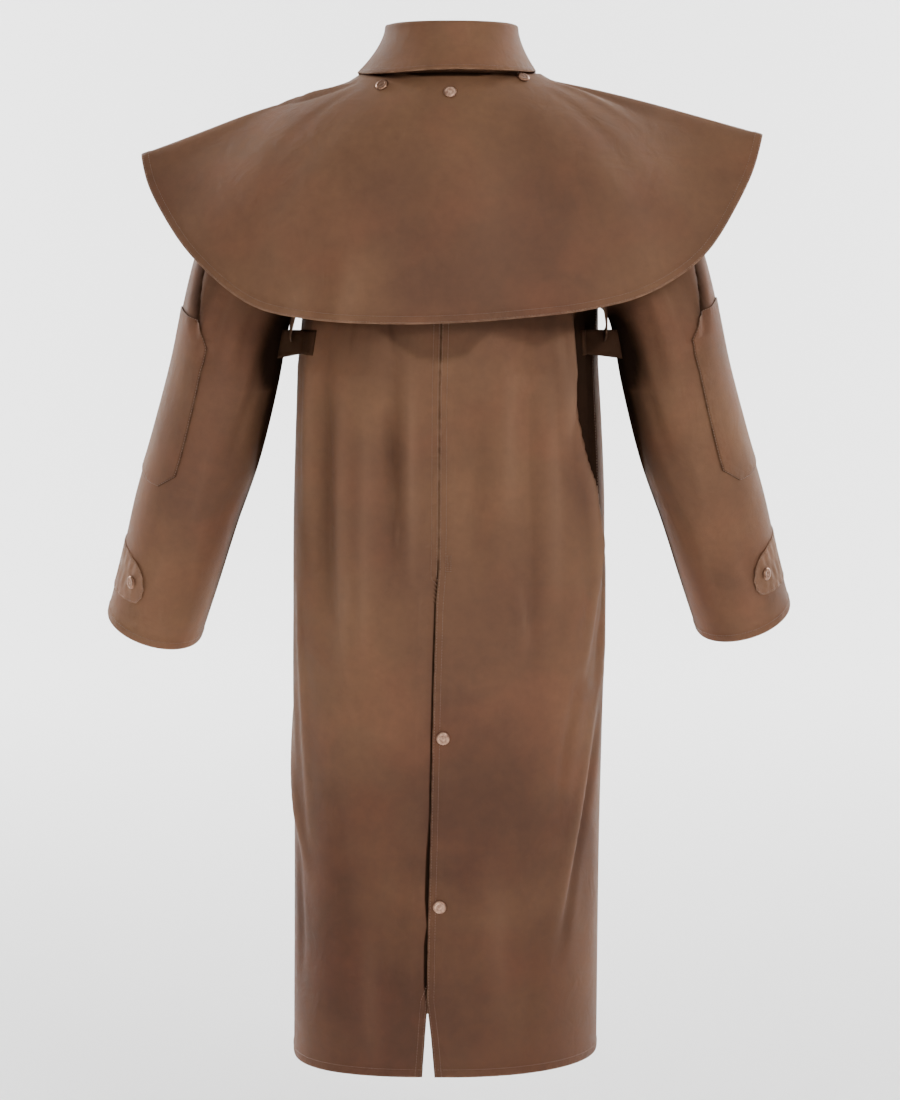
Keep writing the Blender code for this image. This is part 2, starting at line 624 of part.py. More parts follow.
def wall(name, outer, inner, look=CLOTH_BROWN, wrap=False):
    """A closed wall between two grids of points, with a rim along each free edge."""
    rows, columns = outer.shape[:2]
    bm = bmesh.new()
    sheets = [[[bm.verts.new(p) for p in row] for row in grid] for grid in (outer, inner)]
    steps = columns if wrap else columns - 1
    for sheet in sheets:
        for r in range(rows - 1):
            for c in range(steps):
                d = (c + 1) % columns
                bm.faces.new((sheet[r][c], sheet[r][d], sheet[r + 1][d], sheet[r + 1][c]))
    border = [[(r, c) for c in range(columns)] + ([(r, 0)] if wrap else []) for r in (0, rows - 1)]
    if not wrap:
        border += [[(r, c) for r in range(rows)] for c in (0, columns - 1)]
    for line in border:
        for (r, c), (q, d) in zip(line, line[1:]):
            bm.faces.new((sheets[0][r][c], sheets[0][q][d], sheets[1][q][d], sheets[1][r][c]))
    return finish_object(name, bm, look)


def seam_normals(side, turns):
    """Normals that the body and the sleeve share along the armhole."""
    turns = turns % 1.0
    sleeve_way = sleeve_point(turns, 0.02, side) - armhole(turns, side)
    along = armhole((turns + 0.001) % 1.0, side) - armhole((turns - 0.001) % 1.0, side)
    middle = armhole(turns, side) - np.array([ARMPIT[0] * side, 0, (ARMPIT[2] + SHOULDER[2]) / 2])
    sleeve_normal = unit(np.cross(along, sleeve_way))
    flip = np.sum(sleeve_normal * middle, axis=-1, keepdims=True)
    sleeve_normal = sleeve_normal * np.where(flip < 0, -1, 1)
    body_normal = []
    for turn in turns:
        is_front = turn > 0.5
        panel = Panel(side, is_front, is_front == (side < 0))
        share = np.clip(2 - 2 * turn if is_front else 2 * turn, 0.05, 0.95)
        h = 1 + SEAM_SHARE + (1 - SEAM_SHARE) * share
        base, inwards, below = (panel.at(u, g) for u, g in ((0.98, h), (0.94, h), (0.98, h - 0.04)))
        normal = unit(np.cross(inwards - base, below - base))
        body_normal.append(facing(normal, np.array([side * 0.3, 1 if is_front else -1, 0.2])))
    body_normal = np.array(body_normal)
    body_normal[np.isclose(turns, 0)] = [side, 0, 0]
    return unit(sleeve_normal + body_normal)


def panel_rows():
    """Heights of a panel's rows: 0 at the hem, 1 at the chest, 2 at the neckline and shoulder."""
    low = np.concatenate([
        np.linspace(HEM_Z, VENT_TOP_Z - 0.042, SKIRT_ROWS),
        [VENT_TOP_Z - VENT_TURN],
        np.linspace(VENT_TOP_Z, CHEST_Z, WAIST_ROWS + 1),
    ])
    seam = 1 + SEAM_SHARE * np.array([TAB_LOW_SHARE, TAB_HIGH_SHARE, 1])
    hole = 1 + SEAM_SHARE + (1 - SEAM_SHARE) * np.arange(1, ARMHOLE_ROWS + 1) / ARMHOLE_ROWS
    return np.concatenate([(low - HEM_Z) / (CHEST_Z - HEM_Z), seam, hole])


def hold_to_seams(grid, panel, first_hole_row):
    """Keeps a panel's points half a seam gap on its own side of each seam."""
    half, side = SEAM_GAP / 2, panel.side
    if panel.is_front:
        grid[..., 1] = np.maximum(grid[..., 1], half)
    else:
        grid[..., 1] = np.minimum(grid[..., 1], -half)
        sewn = grid[..., 2] > VENT_TOP_Z - VENT_TURN - half
        edge = straight(BACK_EDGES, EDGE_COLUMNS, "over", grid[..., 2])
        share = np.clip((grid[..., 2] - CHEST_Z) / -CHEST_Z, 0, 1)
        edge = edge + (NECK_SEAM_X - edge) * share
        held = np.maximum(grid[..., 0] * side, edge * side + half) * side
        grid[..., 0] = np.where(sewn, held, grid[..., 0])
    grid[first_hole_row:, -1, 0] -= side * half


def make_panel(name, panel):
    rows, columns = panel_rows(), np.linspace(0, 1, PANEL_COLUMNS + 1)
    first_hole_row = len(rows) - 1 - ARMHOLE_ROWS
    outer = panel.at(columns[None, :], rows[:, None])
    normals = facing(normals_of(outer), outer * [1, 1, 0])
    normals[: first_hole_row + 1, -1] = [panel.side, 0, 0]
    turns = np.arange(ARMHOLE_ROWS + 1) / ARMHOLE_ROWS / 2
    normals[first_hole_row:, -1] = seam_normals(panel.side, 1 - turns if panel.is_front else turns)
    on_shoulder = (outer[-1, :, 0] * panel.side >= NECK_HALF_WIDTH - 0.001) & (columns < 1)
    normals[-1, on_shoulder] *= [1, 0, 1]
    normals = unit(normals)
    inner = outer - normals * CLOTH
    for grid in (outer, inner):
        hold_to_seams(grid, panel, first_hole_row)
    wall(name, outer, inner)
    return Sheet(outer, normals, rows, columns)


def make_sleeve(name, side):
    rings = np.concatenate([
        np.linspace(0, 1, CAP_ROWS + 1), np.linspace(1, 5.5, SLEEVE_ROWS)[1:], [SLEEVE_ENDS[side]]
    ])
    turns = np.arange(2 * ARMHOLE_ROWS + 1) / (2 * ARMHOLE_ROWS)
    outer = sleeve_point(turns[None, :-1], rings[:, None], side)
    normals = facing(normals_of(outer, wrap=True), outer - outer.mean(axis=1, keepdims=True))
    normals[0] = seam_normals(side, turns[:-1])
    inner = outer - normals * CLOTH
    for grid in (outer, inner):
        grid[0, :, 0] += side * SEAM_GAP / 2
    wall(name, outer, inner, wrap=True)
    round_again = [np.concatenate([grid, grid[:, :1]], axis=1) for grid in (outer, normals)]
    return Sheet(*round_again, rings, turns)


def lay_on(name, base, normals, lift, cloth, look=CLOTH_BROWN):
    """A piece that follows a surface at a small distance. Returns the sheet's points."""
    inner = base + normals * np.asarray(lift)[..., None]
    outer = inner + normals * cloth
    wall(name, outer, inner, look)
    return outer


def make_elbow_patch(name, side, sleeve):
    """Long pointed patch on the outside of the elbow, on the sleeve's own rows and columns."""
    rows = PATCH_ROWS[side]
    corners = column(rows, PATCH_COLUMNS, "ring")
    between = sleeve.rows[(sleeve.rows > corners[0]) & (sleeve.rows < corners[-1])]
    points = [np.linspace(corners[k], corners[k + 1], n + 1) for k, n in enumerate(PATCH_STEPS) if n]
    stations = np.union1d(np.concatenate(points), between)
    inner_edge, outer_edge = (straight(rows, PATCH_COLUMNS, n, stations) for n in ("inner", "outer"))
    inside = sleeve.columns[(sleeve.columns > inner_edge.min()) & (sleeve.columns < outer_edge.max())]
    last = len(inside) + 1
    lines = [np.clip(c, inner_edge + k * PATCH_NARROWEST, outer_edge - (last - k) * PATCH_NARROWEST)
             for k, c in enumerate(inside, 1)]
    turn = np.stack([inner_edge, *lines, outer_edge], axis=1)
    base, normals = sleeve.seat(np.broadcast_to(stations[:, None], turn.shape), turn)
    lay_on(name, base, normals, np.full(turn.shape, PATCH_LIFT), PATCH_CLOTH)


def make_cuff_tab(name, side, sleeve):
    tip = np.linspace(TAB_ROWS[0][0], TAB_ROWS[2][0], 4)
    past_tip = (sleeve.columns > tip[-1]) & (sleeve.columns <= TAB_ROWS[-1][0])
    turns = np.concatenate([tip, sleeve.columns[past_tip]])
    low, high, lift = (straight(TAB_ROWS, TAB_COLUMNS, n, turns)[None, :] for n in ("low", "high", "lift"))
    share = np.linspace(0, 1, 4)[:, None]
    rings = SLEEVE_ENDS[side] - (low * (1 - share) + high * share) / RING_SPACING
    base, normals = sleeve.seat(rings, np.broadcast_to(turns[None, :], rings.shape))
    outer = lay_on(name, base, normals, np.broadcast_to(lift + SEAM_GAP, rings.shape), CLOTH)
    return Sheet(outer, normals, share[:, 0], turns)


def make_collar(name):
    turns = np.linspace(-COLLAR_END, COLLAR_END, COLLAR_STATIONS + 1)
    s = np.concatenate([
        np.linspace(0, FOLD_START, 4), np.linspace(FOLD_START, FOLD_END, 5)[1:-1], np.linspace(FOLD_END, 1, 4)
    ])
    outer = collar_point(turns[None, :], s[:, None])
    normals = normals_of(outer)
    if np.sum(normals[-3:] * outer[-3:] * [1, 1, 0]) < 0:
        normals = -normals
    wall(name, outer, outer - normals * COLLAR_CLOTH)


def make_cape(name):
    turns = np.linspace(-CAPE_END, CAPE_END, CAPE_STATIONS + 1)
    s = np.array(CAPE_LINES)
    outer = cape_point(turns[None, :], s[:, None])
    normals = facing(normals_of(outer), np.array([0.0, 0.0, 1.0]))
    wall(name, outer, outer - normals * CLOTH)
    return Sheet(outer, normals, s, turns)


def make_underarm_tab(name, side, back, sleeve):
    """Sewn flat on the back panel near its side, then turned out to the sleeve."""
    heights = 1 + SEAM_SHARE * np.array([TAB_HIGH_SHARE, TAB_LOW_SHARE])[:, None]
    base, normals = back.seat(heights, back.columns[None, TAB_FIRST_COLUMN : TAB_LAST_COLUMN + 1])
    rings = np.linspace(0.3, 1.4, 60)
    along_sleeve = sleeve.seat(rings, TAB_SLEEVE_TURN)[0]
    meets = np.interp(-np.array(TAB_SLEEVE_Z), -along_sleeve[:, 2], rings)
    end, end_normals = sleeve.seat(meets, np.full(2, TAB_SLEEVE_TURN))
    end = end + end_normals * LAYER_GAP
    back_way = np.array([0.0, -1.0, 0.0])
    normals[:, -1] = unit(normals[:, -1] + back_way)
    start = base[:, -1]
    bridge = [start + (end - start) * t for t in (0.4, 0.75, 1.0)]
    base = np.concatenate([base, np.stack(bridge, axis=1)], axis=1)
    normals = np.concatenate([normals, np.broadcast_to(back_way, (2, 3, 3))], axis=1)
    return lay_on(name, base, normals, np.full(base.shape[:2], LAYER_GAP + SEAM_GAP), CLOTH, CLOTH_DARK)


def make_cape_strap(name, side, cape, tab_outer):
    """Flat strap from inside the cape's hem to the underarm tab, seen on its edge from behind."""
    turn, s = STRAP_ON_CAPE
    start, normal = cape.seat(s, turn * side)
    start = start - normal * (CLOTH + STRAP_CAPE_GAP)
    middle = tab_outer.mean(axis=0)
    order = np.argsort(middle[:, 0])
    meets_y = np.interp(STRAP_TAB_X[side], middle[order, 0], middle[order, 1])
    end = np.array([STRAP_TAB_X[side], meets_y - LAYER_GAP, STRAP_TAB_Z])
    t = np.linspace(0, 1, 7)
    run = start + (end - start) * t[:, None]
    run += point(STRAP_BULGE * side * np.sin(np.pi * t), 0, -STRAP_SAG * np.sin(np.pi * t))
    share = np.linspace(-0.5, 0.5, 3)[:, None, None]
    centre = run[None] - share * [0, 0, STRAP_WIDTH]
    across = np.array([side * STRAP_CLOTH / 2, 0, 0])
    wall(name, centre + across, centre - across, CLOTH_DARK)


def make_snap(name, seat, normal):
    """Domed cap of a snap, standing just off the cloth that carries it."""
    rim = SNAP_HEIGHT * SNAP_RIM_SHARE
    bm = bmesh.new()
    bmesh.ops.create_cone(
        bm, cap_ends=True, segments=SNAP_SIDES, radius1=SNAP_RADIUS, radius2=SNAP_RADIUS * SNAP_TAPER, depth=rim
    )
    top = max(bm.faces, key=lambda face: face.calc_center_median().z)
    bmesh.ops.inset_region(bm, faces=[top], thickness=SNAP_RADIUS * SNAP_DOME_INSET)
    bmesh.ops.translate(bm, verts=top.verts, vec=(0, 0, SNAP_HEIGHT - rim))
    bmesh.ops.translate(bm, verts=bm.verts, vec=(0, 0, rim / 2 + SNAP_STAND_OFF))
    snap = finish_object(name, bm, SNAP_COPPER)
    way = Vector(normal)
    snap.rotation_mode = "QUATERNION"
    snap.rotation_quaternion = way.to_track_quat("Z", "Y")
    snap.location = Vector(seat)


def main():
    for old in list(bpy.data.objects):
        bpy.data.objects.remove(old)

    panels = {
        "back_left": Panel(-1, False, False),
        "back_right": Panel(1, False, True),
        "front_left": Panel(-1, True, True),
        "front_right": Panel(1, True, False),
    }
    sheets = {name: make_panel(name, panel) for name, panel in panels.items()}
    for name, (x, z) in VENT_SNAPS.items():
        make_snap(name, *sheets["back_right"].seat(*sheets["back_right"].place(x, z)))
    for number, z in enumerate(FRONT_SNAP_Z, 1):
        place = sheets["front_left"].place(FRONT_SNAP_X, z)
        make_snap(f"front_snap_{number}", *sheets["front_left"].seat(*place))

    cape = make_cape("cape")
    for word, side in (("left", -1), ("right", 1)):
        sleeve = make_sleeve(f"sleeve_{word}", side)
        make_elbow_patch(f"elbow_patch_{word}", side, sleeve)
        tab = make_cuff_tab(f"cuff_tab_{word}", side, sleeve)
        make_snap(f"cuff_snap_{word}", *tab.seat(TAB_SNAP_SHARE, TAB_SNAP_TURN))
        tab_outer = make_underarm_tab(f"underarm_tab_{word}", side, sheets[f"back_{word}"], sleeve)
        make_cape_strap(f"cape_strap_{word}", side, cape, tab_outer)

    make_collar("collar")
    for name, (turn, s) in CAPE_SNAPS.items():
        make_snap(name, *cape.seat(s, turn))


main()
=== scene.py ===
# %% [markdown]
# A long coat of oiled cotton for riders, filled out as if somebody wore it, and seen from behind.
# Its cut pieces are two backs, two fronts, two sleeves, a collar and a deep shoulder cape, with
# elbow patches, cuff tabs and small straps sewn on. Each one is made here as a thin sheet of
# cloth that follows the same surface as the solid that it stands for, with finer creases.

import json
import math

import bmesh
import bpy
import numpy as np
from mathutils import Matrix, Vector

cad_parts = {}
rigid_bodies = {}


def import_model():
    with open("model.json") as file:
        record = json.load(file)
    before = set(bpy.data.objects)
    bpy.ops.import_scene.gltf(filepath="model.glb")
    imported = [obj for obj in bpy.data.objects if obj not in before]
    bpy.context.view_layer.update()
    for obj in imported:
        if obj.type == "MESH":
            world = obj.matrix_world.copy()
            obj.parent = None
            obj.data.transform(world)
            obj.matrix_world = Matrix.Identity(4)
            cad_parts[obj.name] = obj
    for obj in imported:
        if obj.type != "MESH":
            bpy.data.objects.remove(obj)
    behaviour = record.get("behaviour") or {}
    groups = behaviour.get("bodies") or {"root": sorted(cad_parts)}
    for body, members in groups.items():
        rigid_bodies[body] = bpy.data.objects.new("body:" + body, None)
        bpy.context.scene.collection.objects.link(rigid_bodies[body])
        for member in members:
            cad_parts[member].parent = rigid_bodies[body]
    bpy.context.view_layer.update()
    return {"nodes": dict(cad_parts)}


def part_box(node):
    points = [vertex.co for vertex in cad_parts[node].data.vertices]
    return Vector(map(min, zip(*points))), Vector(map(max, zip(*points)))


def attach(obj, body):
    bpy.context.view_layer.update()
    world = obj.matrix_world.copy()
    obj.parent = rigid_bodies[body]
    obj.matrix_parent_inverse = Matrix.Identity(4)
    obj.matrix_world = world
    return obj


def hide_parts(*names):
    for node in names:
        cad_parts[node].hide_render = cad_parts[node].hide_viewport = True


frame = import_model()

# %% [markdown]
# Every surface below is worked out from short tables: a row for each height, ring or rib. A table
# could be read with straight lines between its rows, but cloth has no kinks there, so most are
# read along a smooth curve, with the slope at each row taken from the rows around it.

# %% Read a table smoothly, or along straight lines
def column(table, columns, name):
    return np.array([row[columns.index(name)] for row in table], float)


def follow(table, columns, name, at):
    """One column of a table, read smoothly at any place along the table's first column."""
    places = column(table, columns, columns[0])
    values = column(table, columns, name)
    slopes = np.gradient(values, places)
    at = np.clip(np.asarray(at, float), places[0], places[-1])
    i = np.clip(np.searchsorted(places, at, side="right") - 1, 0, len(places) - 2)
    span = places[i + 1] - places[i]
    t = (at - places[i]) / span
    rise = t * t * (3 - 2 * t)
    return (
        values[i] * (1 - rise)
        + values[i + 1] * rise
        + slopes[i] * span * t * (1 - t) ** 2
        - slopes[i + 1] * span * t * t * (1 - t)
    )


def straight(table, columns, name, at):
    """One column of a table, read along straight lines between its rows."""
    return np.interp(at, column(table, columns, columns[0]), column(table, columns, name))


def ease(t):
    t = np.clip(t, 0, 1)
    return t * t * (3 - 2 * t)


def point(x, y, z):
    x, y, z = np.broadcast_arrays(x, y, z)
    return np.stack([x, y, z], -1).astype(float)


def unit(v):
    return v / np.maximum(np.linalg.norm(v, axis=-1, keepdims=True), 1e-12)


def bezier(a, b, c, d, t):
    t = np.asarray(t, float)[..., None]
    a, b, c, d = (np.asarray(p, float) for p in (a, b, c, d))
    return a * (1 - t) ** 3 + 3 * b * t * (1 - t) ** 2 + 3 * c * t * t * (1 - t) + d * t**3


def hermite(a, b, leave, arrive, t):
    """Smooth path from a to b that leaves and arrives along given directions."""
    rise = t * t * (3 - 2 * t)
    return a * (1 - rise) + b * rise + leave * t * (1 - t) ** 2 - arrive * t * t * (1 - t)


# %% [markdown]
# A fold is a soft trough or ridge that runs along the cloth. Cloth simulation could make some,
# but not these ones in these places, so each is a row: where it starts, how far it drifts
# sideways, how wide it is and how deep. Each fades out at both ends, as a real one does.

# %% Add up the folds of a table
FADE_POWER = 0.8


def fold_relief(table, columns, across, along):
    """Sum of the troughs and ridges in a fold table. Each one fades out at both of its ends."""
    relief = np.zeros(np.broadcast(across, along).shape)
    for row in table:
        place, drift, top, bottom, spread, depth = row
        share = (along - top) / (bottom - top)
        middle = place + drift * np.clip(share, 0, 1)
        fade = np.sin(np.pi * np.clip(share, 0, 1)) ** FADE_POWER
        relief = relief + depth * fade * np.exp(-(((across - middle) / spread) ** 2))
    return relief


# %% [markdown]
# The body of the coat is a wide tube, flatter behind than round. Its outline is a rounded
# rectangle whose width, depth and squareness come from five heights, and the folds move it in and
# out. Angle 0 is the centre back and 90 degrees is the wearer's right side. The one deep fold,
# below the right armpit, has a table of its own, with the angle of its edge at each height.

# %% The body's surface
LAP_DEPTH = 0.0032
LAP_EASE = 0.014
LAP_REACH = 0.008
HEM_Z = -1.226
CHEST_Z = -0.360
BODY_DEPTH = 0.150
BODY_COLUMNS = ("z", "left", "right", "back", "front", "left_power", "right_power")
BODY_SECTIONS = [
    (-1.226, 0.198, 0.186, 0.150, 0.152, 2.8, 2.1),
    (-0.950, 0.196, 0.188, 0.150, 0.152, 2.6, 2.3),
    (-0.750, 0.196, 0.192, 0.150, 0.152, 2.4, 2.4),
    (-0.550, 0.195, 0.194, 0.150, 0.152, 2.4, 2.4),
    (-0.360, 0.189, 0.186, 0.150, 0.150, 2.4, 2.4),
]
FOLD_COLUMNS = ("angle", "drift", "top", "bottom", "spread", "depth")
BODY_FOLDS = [
    (-58, 3, -0.30, -0.72, 7, -0.0055),
    (-41, -2, -0.34, -0.95, 7, 0.0030),
    (-27, 0, -0.32, -0.66, 5, -0.0035),
    (-80, 14, -0.66, -1.06, 6, 0.0040),
    (-72, 10, -0.70, -1.16, 6, -0.0035),
    (38, 2, -0.32, -0.72, 6, -0.0030),
    (52, 4, -0.34, -0.80, 8, 0.0040),
    (64, 6, -0.26, -0.52, 5, 0.0060),
    (76, 2, -0.24, -0.56, 6, -0.0130),
    (80, -14, -0.60, -0.98, 6, 0.0045),
    (72, -10, -0.72, -1.12, 6, -0.0035),
    (118, 6, -0.34, -1.00, 8, -0.0050),
    (150, -4, -0.34, -0.90, 8, -0.0045),
    (-124, -4, -0.34, -1.05, 8, -0.0050),
    (-148, 5, -0.30, -0.80, 8, -0.0040),
]
BODY_CREASES = [
    (-58, 2, -0.33, -0.66, 4.0, -0.0060),
    (-67, 1, -0.30, -0.56, 3.6, 0.0050),
    (-48, 2, -0.36, -0.74, 3.6, 0.0046),
    (-26, 0, -0.34, -0.60, 3.2, -0.0056),
    (-29, 0, -0.40, -0.52, 1.2, -0.0014),
    (-36, -2, -0.38, -0.72, 3.2, 0.0036),
    (-18, 1, -0.34, -0.62, 2.8, 0.0034),
    (-43, -1, -0.60, -0.66, 1.2, 0.0030),
    (-45.5, 0, -0.285, -0.345, 1.3, -0.0050),
    (-28.8, 3, -0.285, -0.335, 1.3, -0.0050),
    (-28.6, 1, -0.400, -0.500, 1.2, -0.0045),
    (-25.0, 0, -0.530, -0.575, 1.2, 0.0034),
    (31.0, 4, -0.610, -0.700, 1.3, 0.0034),
    (-74, 12, -0.62, -0.96, 2.6, 0.0044),
    (-88, 26, -0.78, -1.00, 3.0, 0.0050),
    (-72, 4, -0.92, -1.14, 3.0, -0.0038),
    (-50, 8, -0.82, -1.12, 4.0, -0.0022),
    (-20, -6, -0.92, -1.16, 5.0, -0.0018),
    (-36, 2, -1.02, -1.22, 4.0, 0.0018),
    (4, 1, -0.31, -0.50, 3.0, -0.0012),
    (14, 2, -0.36, -0.62, 6.0, -0.0040),
    (27, -1, -0.32, -0.54, 3.4, 0.0030),
    (38, 1, -0.33, -0.74, 2.2, -0.0036),
    (45, 1, -0.34, -0.66, 2.6, 0.0034),
    (50, 2, -0.28, -0.46, 2.2, 0.0042),
    (58, -7, -0.29, -0.44, 2.0, 0.0064),
    (54, 22, -0.38, -0.62, 3.0, 0.0060),
    (66, 10, -0.52, -0.72, 3.4, 0.0030),
    (73, -14, -0.55, -0.74, 2.2, 0.0050),
    (80, -12, -0.55, -0.76, 2.6, -0.0044),
    (70, -22, -0.76, -1.06, 2.6, 0.0056),
    (76, -26, -0.74, -1.10, 3.0, -0.0052),
    (58, -10, -0.72, -0.90, 2.6, -0.0032),
    (20, 4, -0.94, -1.16, 5.0, 0.0018),
    (40, -4, -1.02, -1.22, 4.0, -0.0020),
    (100, 3, -0.34, -0.72, 3.4, 0.0034),
    (113, -3, -0.38, -0.84, 4.2, -0.0040),
    (128, -3, -0.36, -0.84, 3.8, -0.0034),
    (142, 3, -0.34, -0.62, 3.0, 0.0026),
    (165, -2, -0.38, -0.90, 3.6, -0.0026),
    (112, -8, -0.78, -1.12, 4.0, 0.0030),
    (136, 6, -0.86, -1.18, 4.4, -0.0028),
    (-102, 4, -0.34, -0.80, 3.4, 0.0034),
    (-118, -4, -0.36, -0.70, 4.0, -0.0036),
    (-134, -3, -0.36, -0.76, 3.2, -0.0030),
    (-160, 3, -0.40, -1.00, 3.8, 0.0024),
    (-116, 9, -0.76, -1.14, 4.0, -0.0030),
    (-142, -6, -0.88, -1.20, 4.6, 0.0026),
]
SINK_DEPTH, SINK_SOFTNESS = 0.0100, 2.6
SINK_END, SINK_LOW, SINK_HIGH = 93, -0.72, -0.27
SINK_END_FADE, SINK_LOW_FADE, SINK_HIGH_FADE = 12, 0.05, 0.03
SINK_COLUMNS = ("z", "edge")
SINK_EDGE = [
    (-0.730, 94.0),
    (-0.640, 88.5),
    (-0.590, 84.0),
    (-0.555, 78.0),
    (-0.520, 71.0),
    (-0.480, 63.5),
    (-0.430, 58.5),
    (-0.390, 56.5),
    (-0.350, 58.0),
    (-0.310, 61.0),
    (-0.280, 66.0),
    (-0.250, 74.0),
]


def sunk(angle, z):
    """1 inside the deep fold at the wearer's right side, below the armpit, and 0 outside it."""
    edge = follow(SINK_EDGE, SINK_COLUMNS, "edge", z)
    inside = ease((angle - edge) / SINK_SOFTNESS + 0.5)
    inside = inside * ease((SINK_END - angle) / SINK_END_FADE + 0.5)
    return inside * ease((z - SINK_LOW) / SINK_LOW_FADE) * ease((SINK_HIGH - z) / SINK_HIGH_FADE)


def body_point(angle, z):
    """Outer point of the body: 0 degrees at the centre back, 90 at the right side, 180 in front."""
    angle, z = np.broadcast_arrays(np.asarray(angle, float), np.asarray(z, float))
    sizes = (follow(BODY_SECTIONS, BODY_COLUMNS, n, z) for n in BODY_COLUMNS[1:])
    left, right, back, front, left_power, right_power = sizes
    width = np.where(angle < 0, left, right)
    power = np.where(angle < 0, left_power, right_power)
    depth = np.where(np.abs(angle) < 90, back, front)
    s, c = np.sin(np.radians(angle)), np.cos(np.radians(angle))
    radius = ((np.abs(s) / width) ** power + (np.abs(c) / depth) ** power) ** (-1 / power)
    radius = radius + fold_relief(BODY_FOLDS + BODY_CREASES, FOLD_COLUMNS, angle, z)
    radius = radius - SINK_DEPTH * sunk(angle, z)
    return point(radius * s, -radius * c, z)


print("folds of the body:", len(BODY_FOLDS), "large and", len(BODY_CREASES), "fine")

# %% [markdown]
# The neckline is an oval that drops to the front, and the armhole is a closed curve from the armpit
# over the shoulder. The panels and the sleeves share these two curves, so that seams meet.

# %% The neckline and the armhole
NECK_SEAM_X = -0.001
FRONT_LAP = 0.030
NECK_HALF_WIDTH = 0.088
NECK_BACK_DEPTH = 0.078
NECK_FRONT_DEPTH = 0.082
NECK_FRONT_DROP = 0.082
NECK_SIDE_DROP = 0.004
SHOULDER = (0.205, 0.0, -0.045)
ARMPIT = (0.182, 0.0, -0.285)
ARMHOLE_BACK = [(0.179, -0.082, -0.274), (0.170, -0.118, -0.105)]
ARMHOLE_FRONT = [(0.178, 0.078, -0.274), (0.164, 0.110, -0.110)]
BACK_PROFILE = [(-0.155, -0.220), (-0.150, -0.080)]
FRONT_PROFILE = [(0.156, -0.270), (0.132, -0.165)]
SHOULDER_RISE = 0.004
SEAM_SHARE = 0.22
NECK_SHARE = 0.42


def neck_point(turn):
    """Neckline by turn from the centre back, in degrees; it drops towards the front."""
    turn = np.asarray(turn, float)
    s, c = np.sin(np.radians(turn)), np.cos(np.radians(turn))
    depth = np.where(c > 0, NECK_BACK_DEPTH, NECK_FRONT_DEPTH)
    front_share = np.clip(-c, 0, 1)
    z = -NECK_SIDE_DROP * np.abs(s) ** 2 * (c > 0) - np.where(
        c > 0, 0, NECK_SIDE_DROP + NECK_FRONT_DROP * front_share**1.3 - NECK_SIDE_DROP * front_share
    )
    return point(NECK_HALF_WIDTH * s, -depth * c, z)


def armhole(turn, side):
    """Armhole seam: turn 0 at the armpit, up the back to 0.5 at the shoulder, down the front to 1."""
    turn = np.asarray(turn, float)
    back = bezier(ARMPIT, *ARMHOLE_BACK, SHOULDER, np.clip(turn * 2, 0, 1))
    front = bezier(ARMPIT, *ARMHOLE_FRONT, SHOULDER, np.clip(2 - turn * 2, 0, 1))
    return np.where((turn <= 0.5)[..., None], back, front) * [side, 1, 1]


# %% [markdown]
# A panel is one quarter of the body. Below the chest it follows the tube. Above, where the cloth
# narrows to the neck and is cut away for the arm, it is filled in between its four edges, which is
# how a sheet of cloth spans a frame. The right back laps over the left one below the vent's top,
# and the left front laps over the right.

# %% The panels
VENT_TOP_Z = -0.593
VENT_TURN = 0.012
EDGE_COLUMNS = ("z", "over", "under")
BACK_EDGES = [
    (-1.226, -0.0190, -0.0340),
    (-1.175, -0.0232, -0.0308),
    (-1.130, -0.0282, -0.0275),
    (-1.070, -0.0273, -0.0030),
    (-1.020, -0.0264, 0.0100),
    (-0.940, -0.0242, 0.0120),
    (-0.753, -0.0203, 0.0120),
    (-0.635, -0.0170, 0.0120),
    (-0.605, -0.0145, -0.0145),
    (-0.593, -0.0140, -0.0140),
    (-0.550, -0.0133, -0.0133),
    (-0.380, -0.0125, -0.0125),
    (-0.360, -0.0120, -0.0120),
]


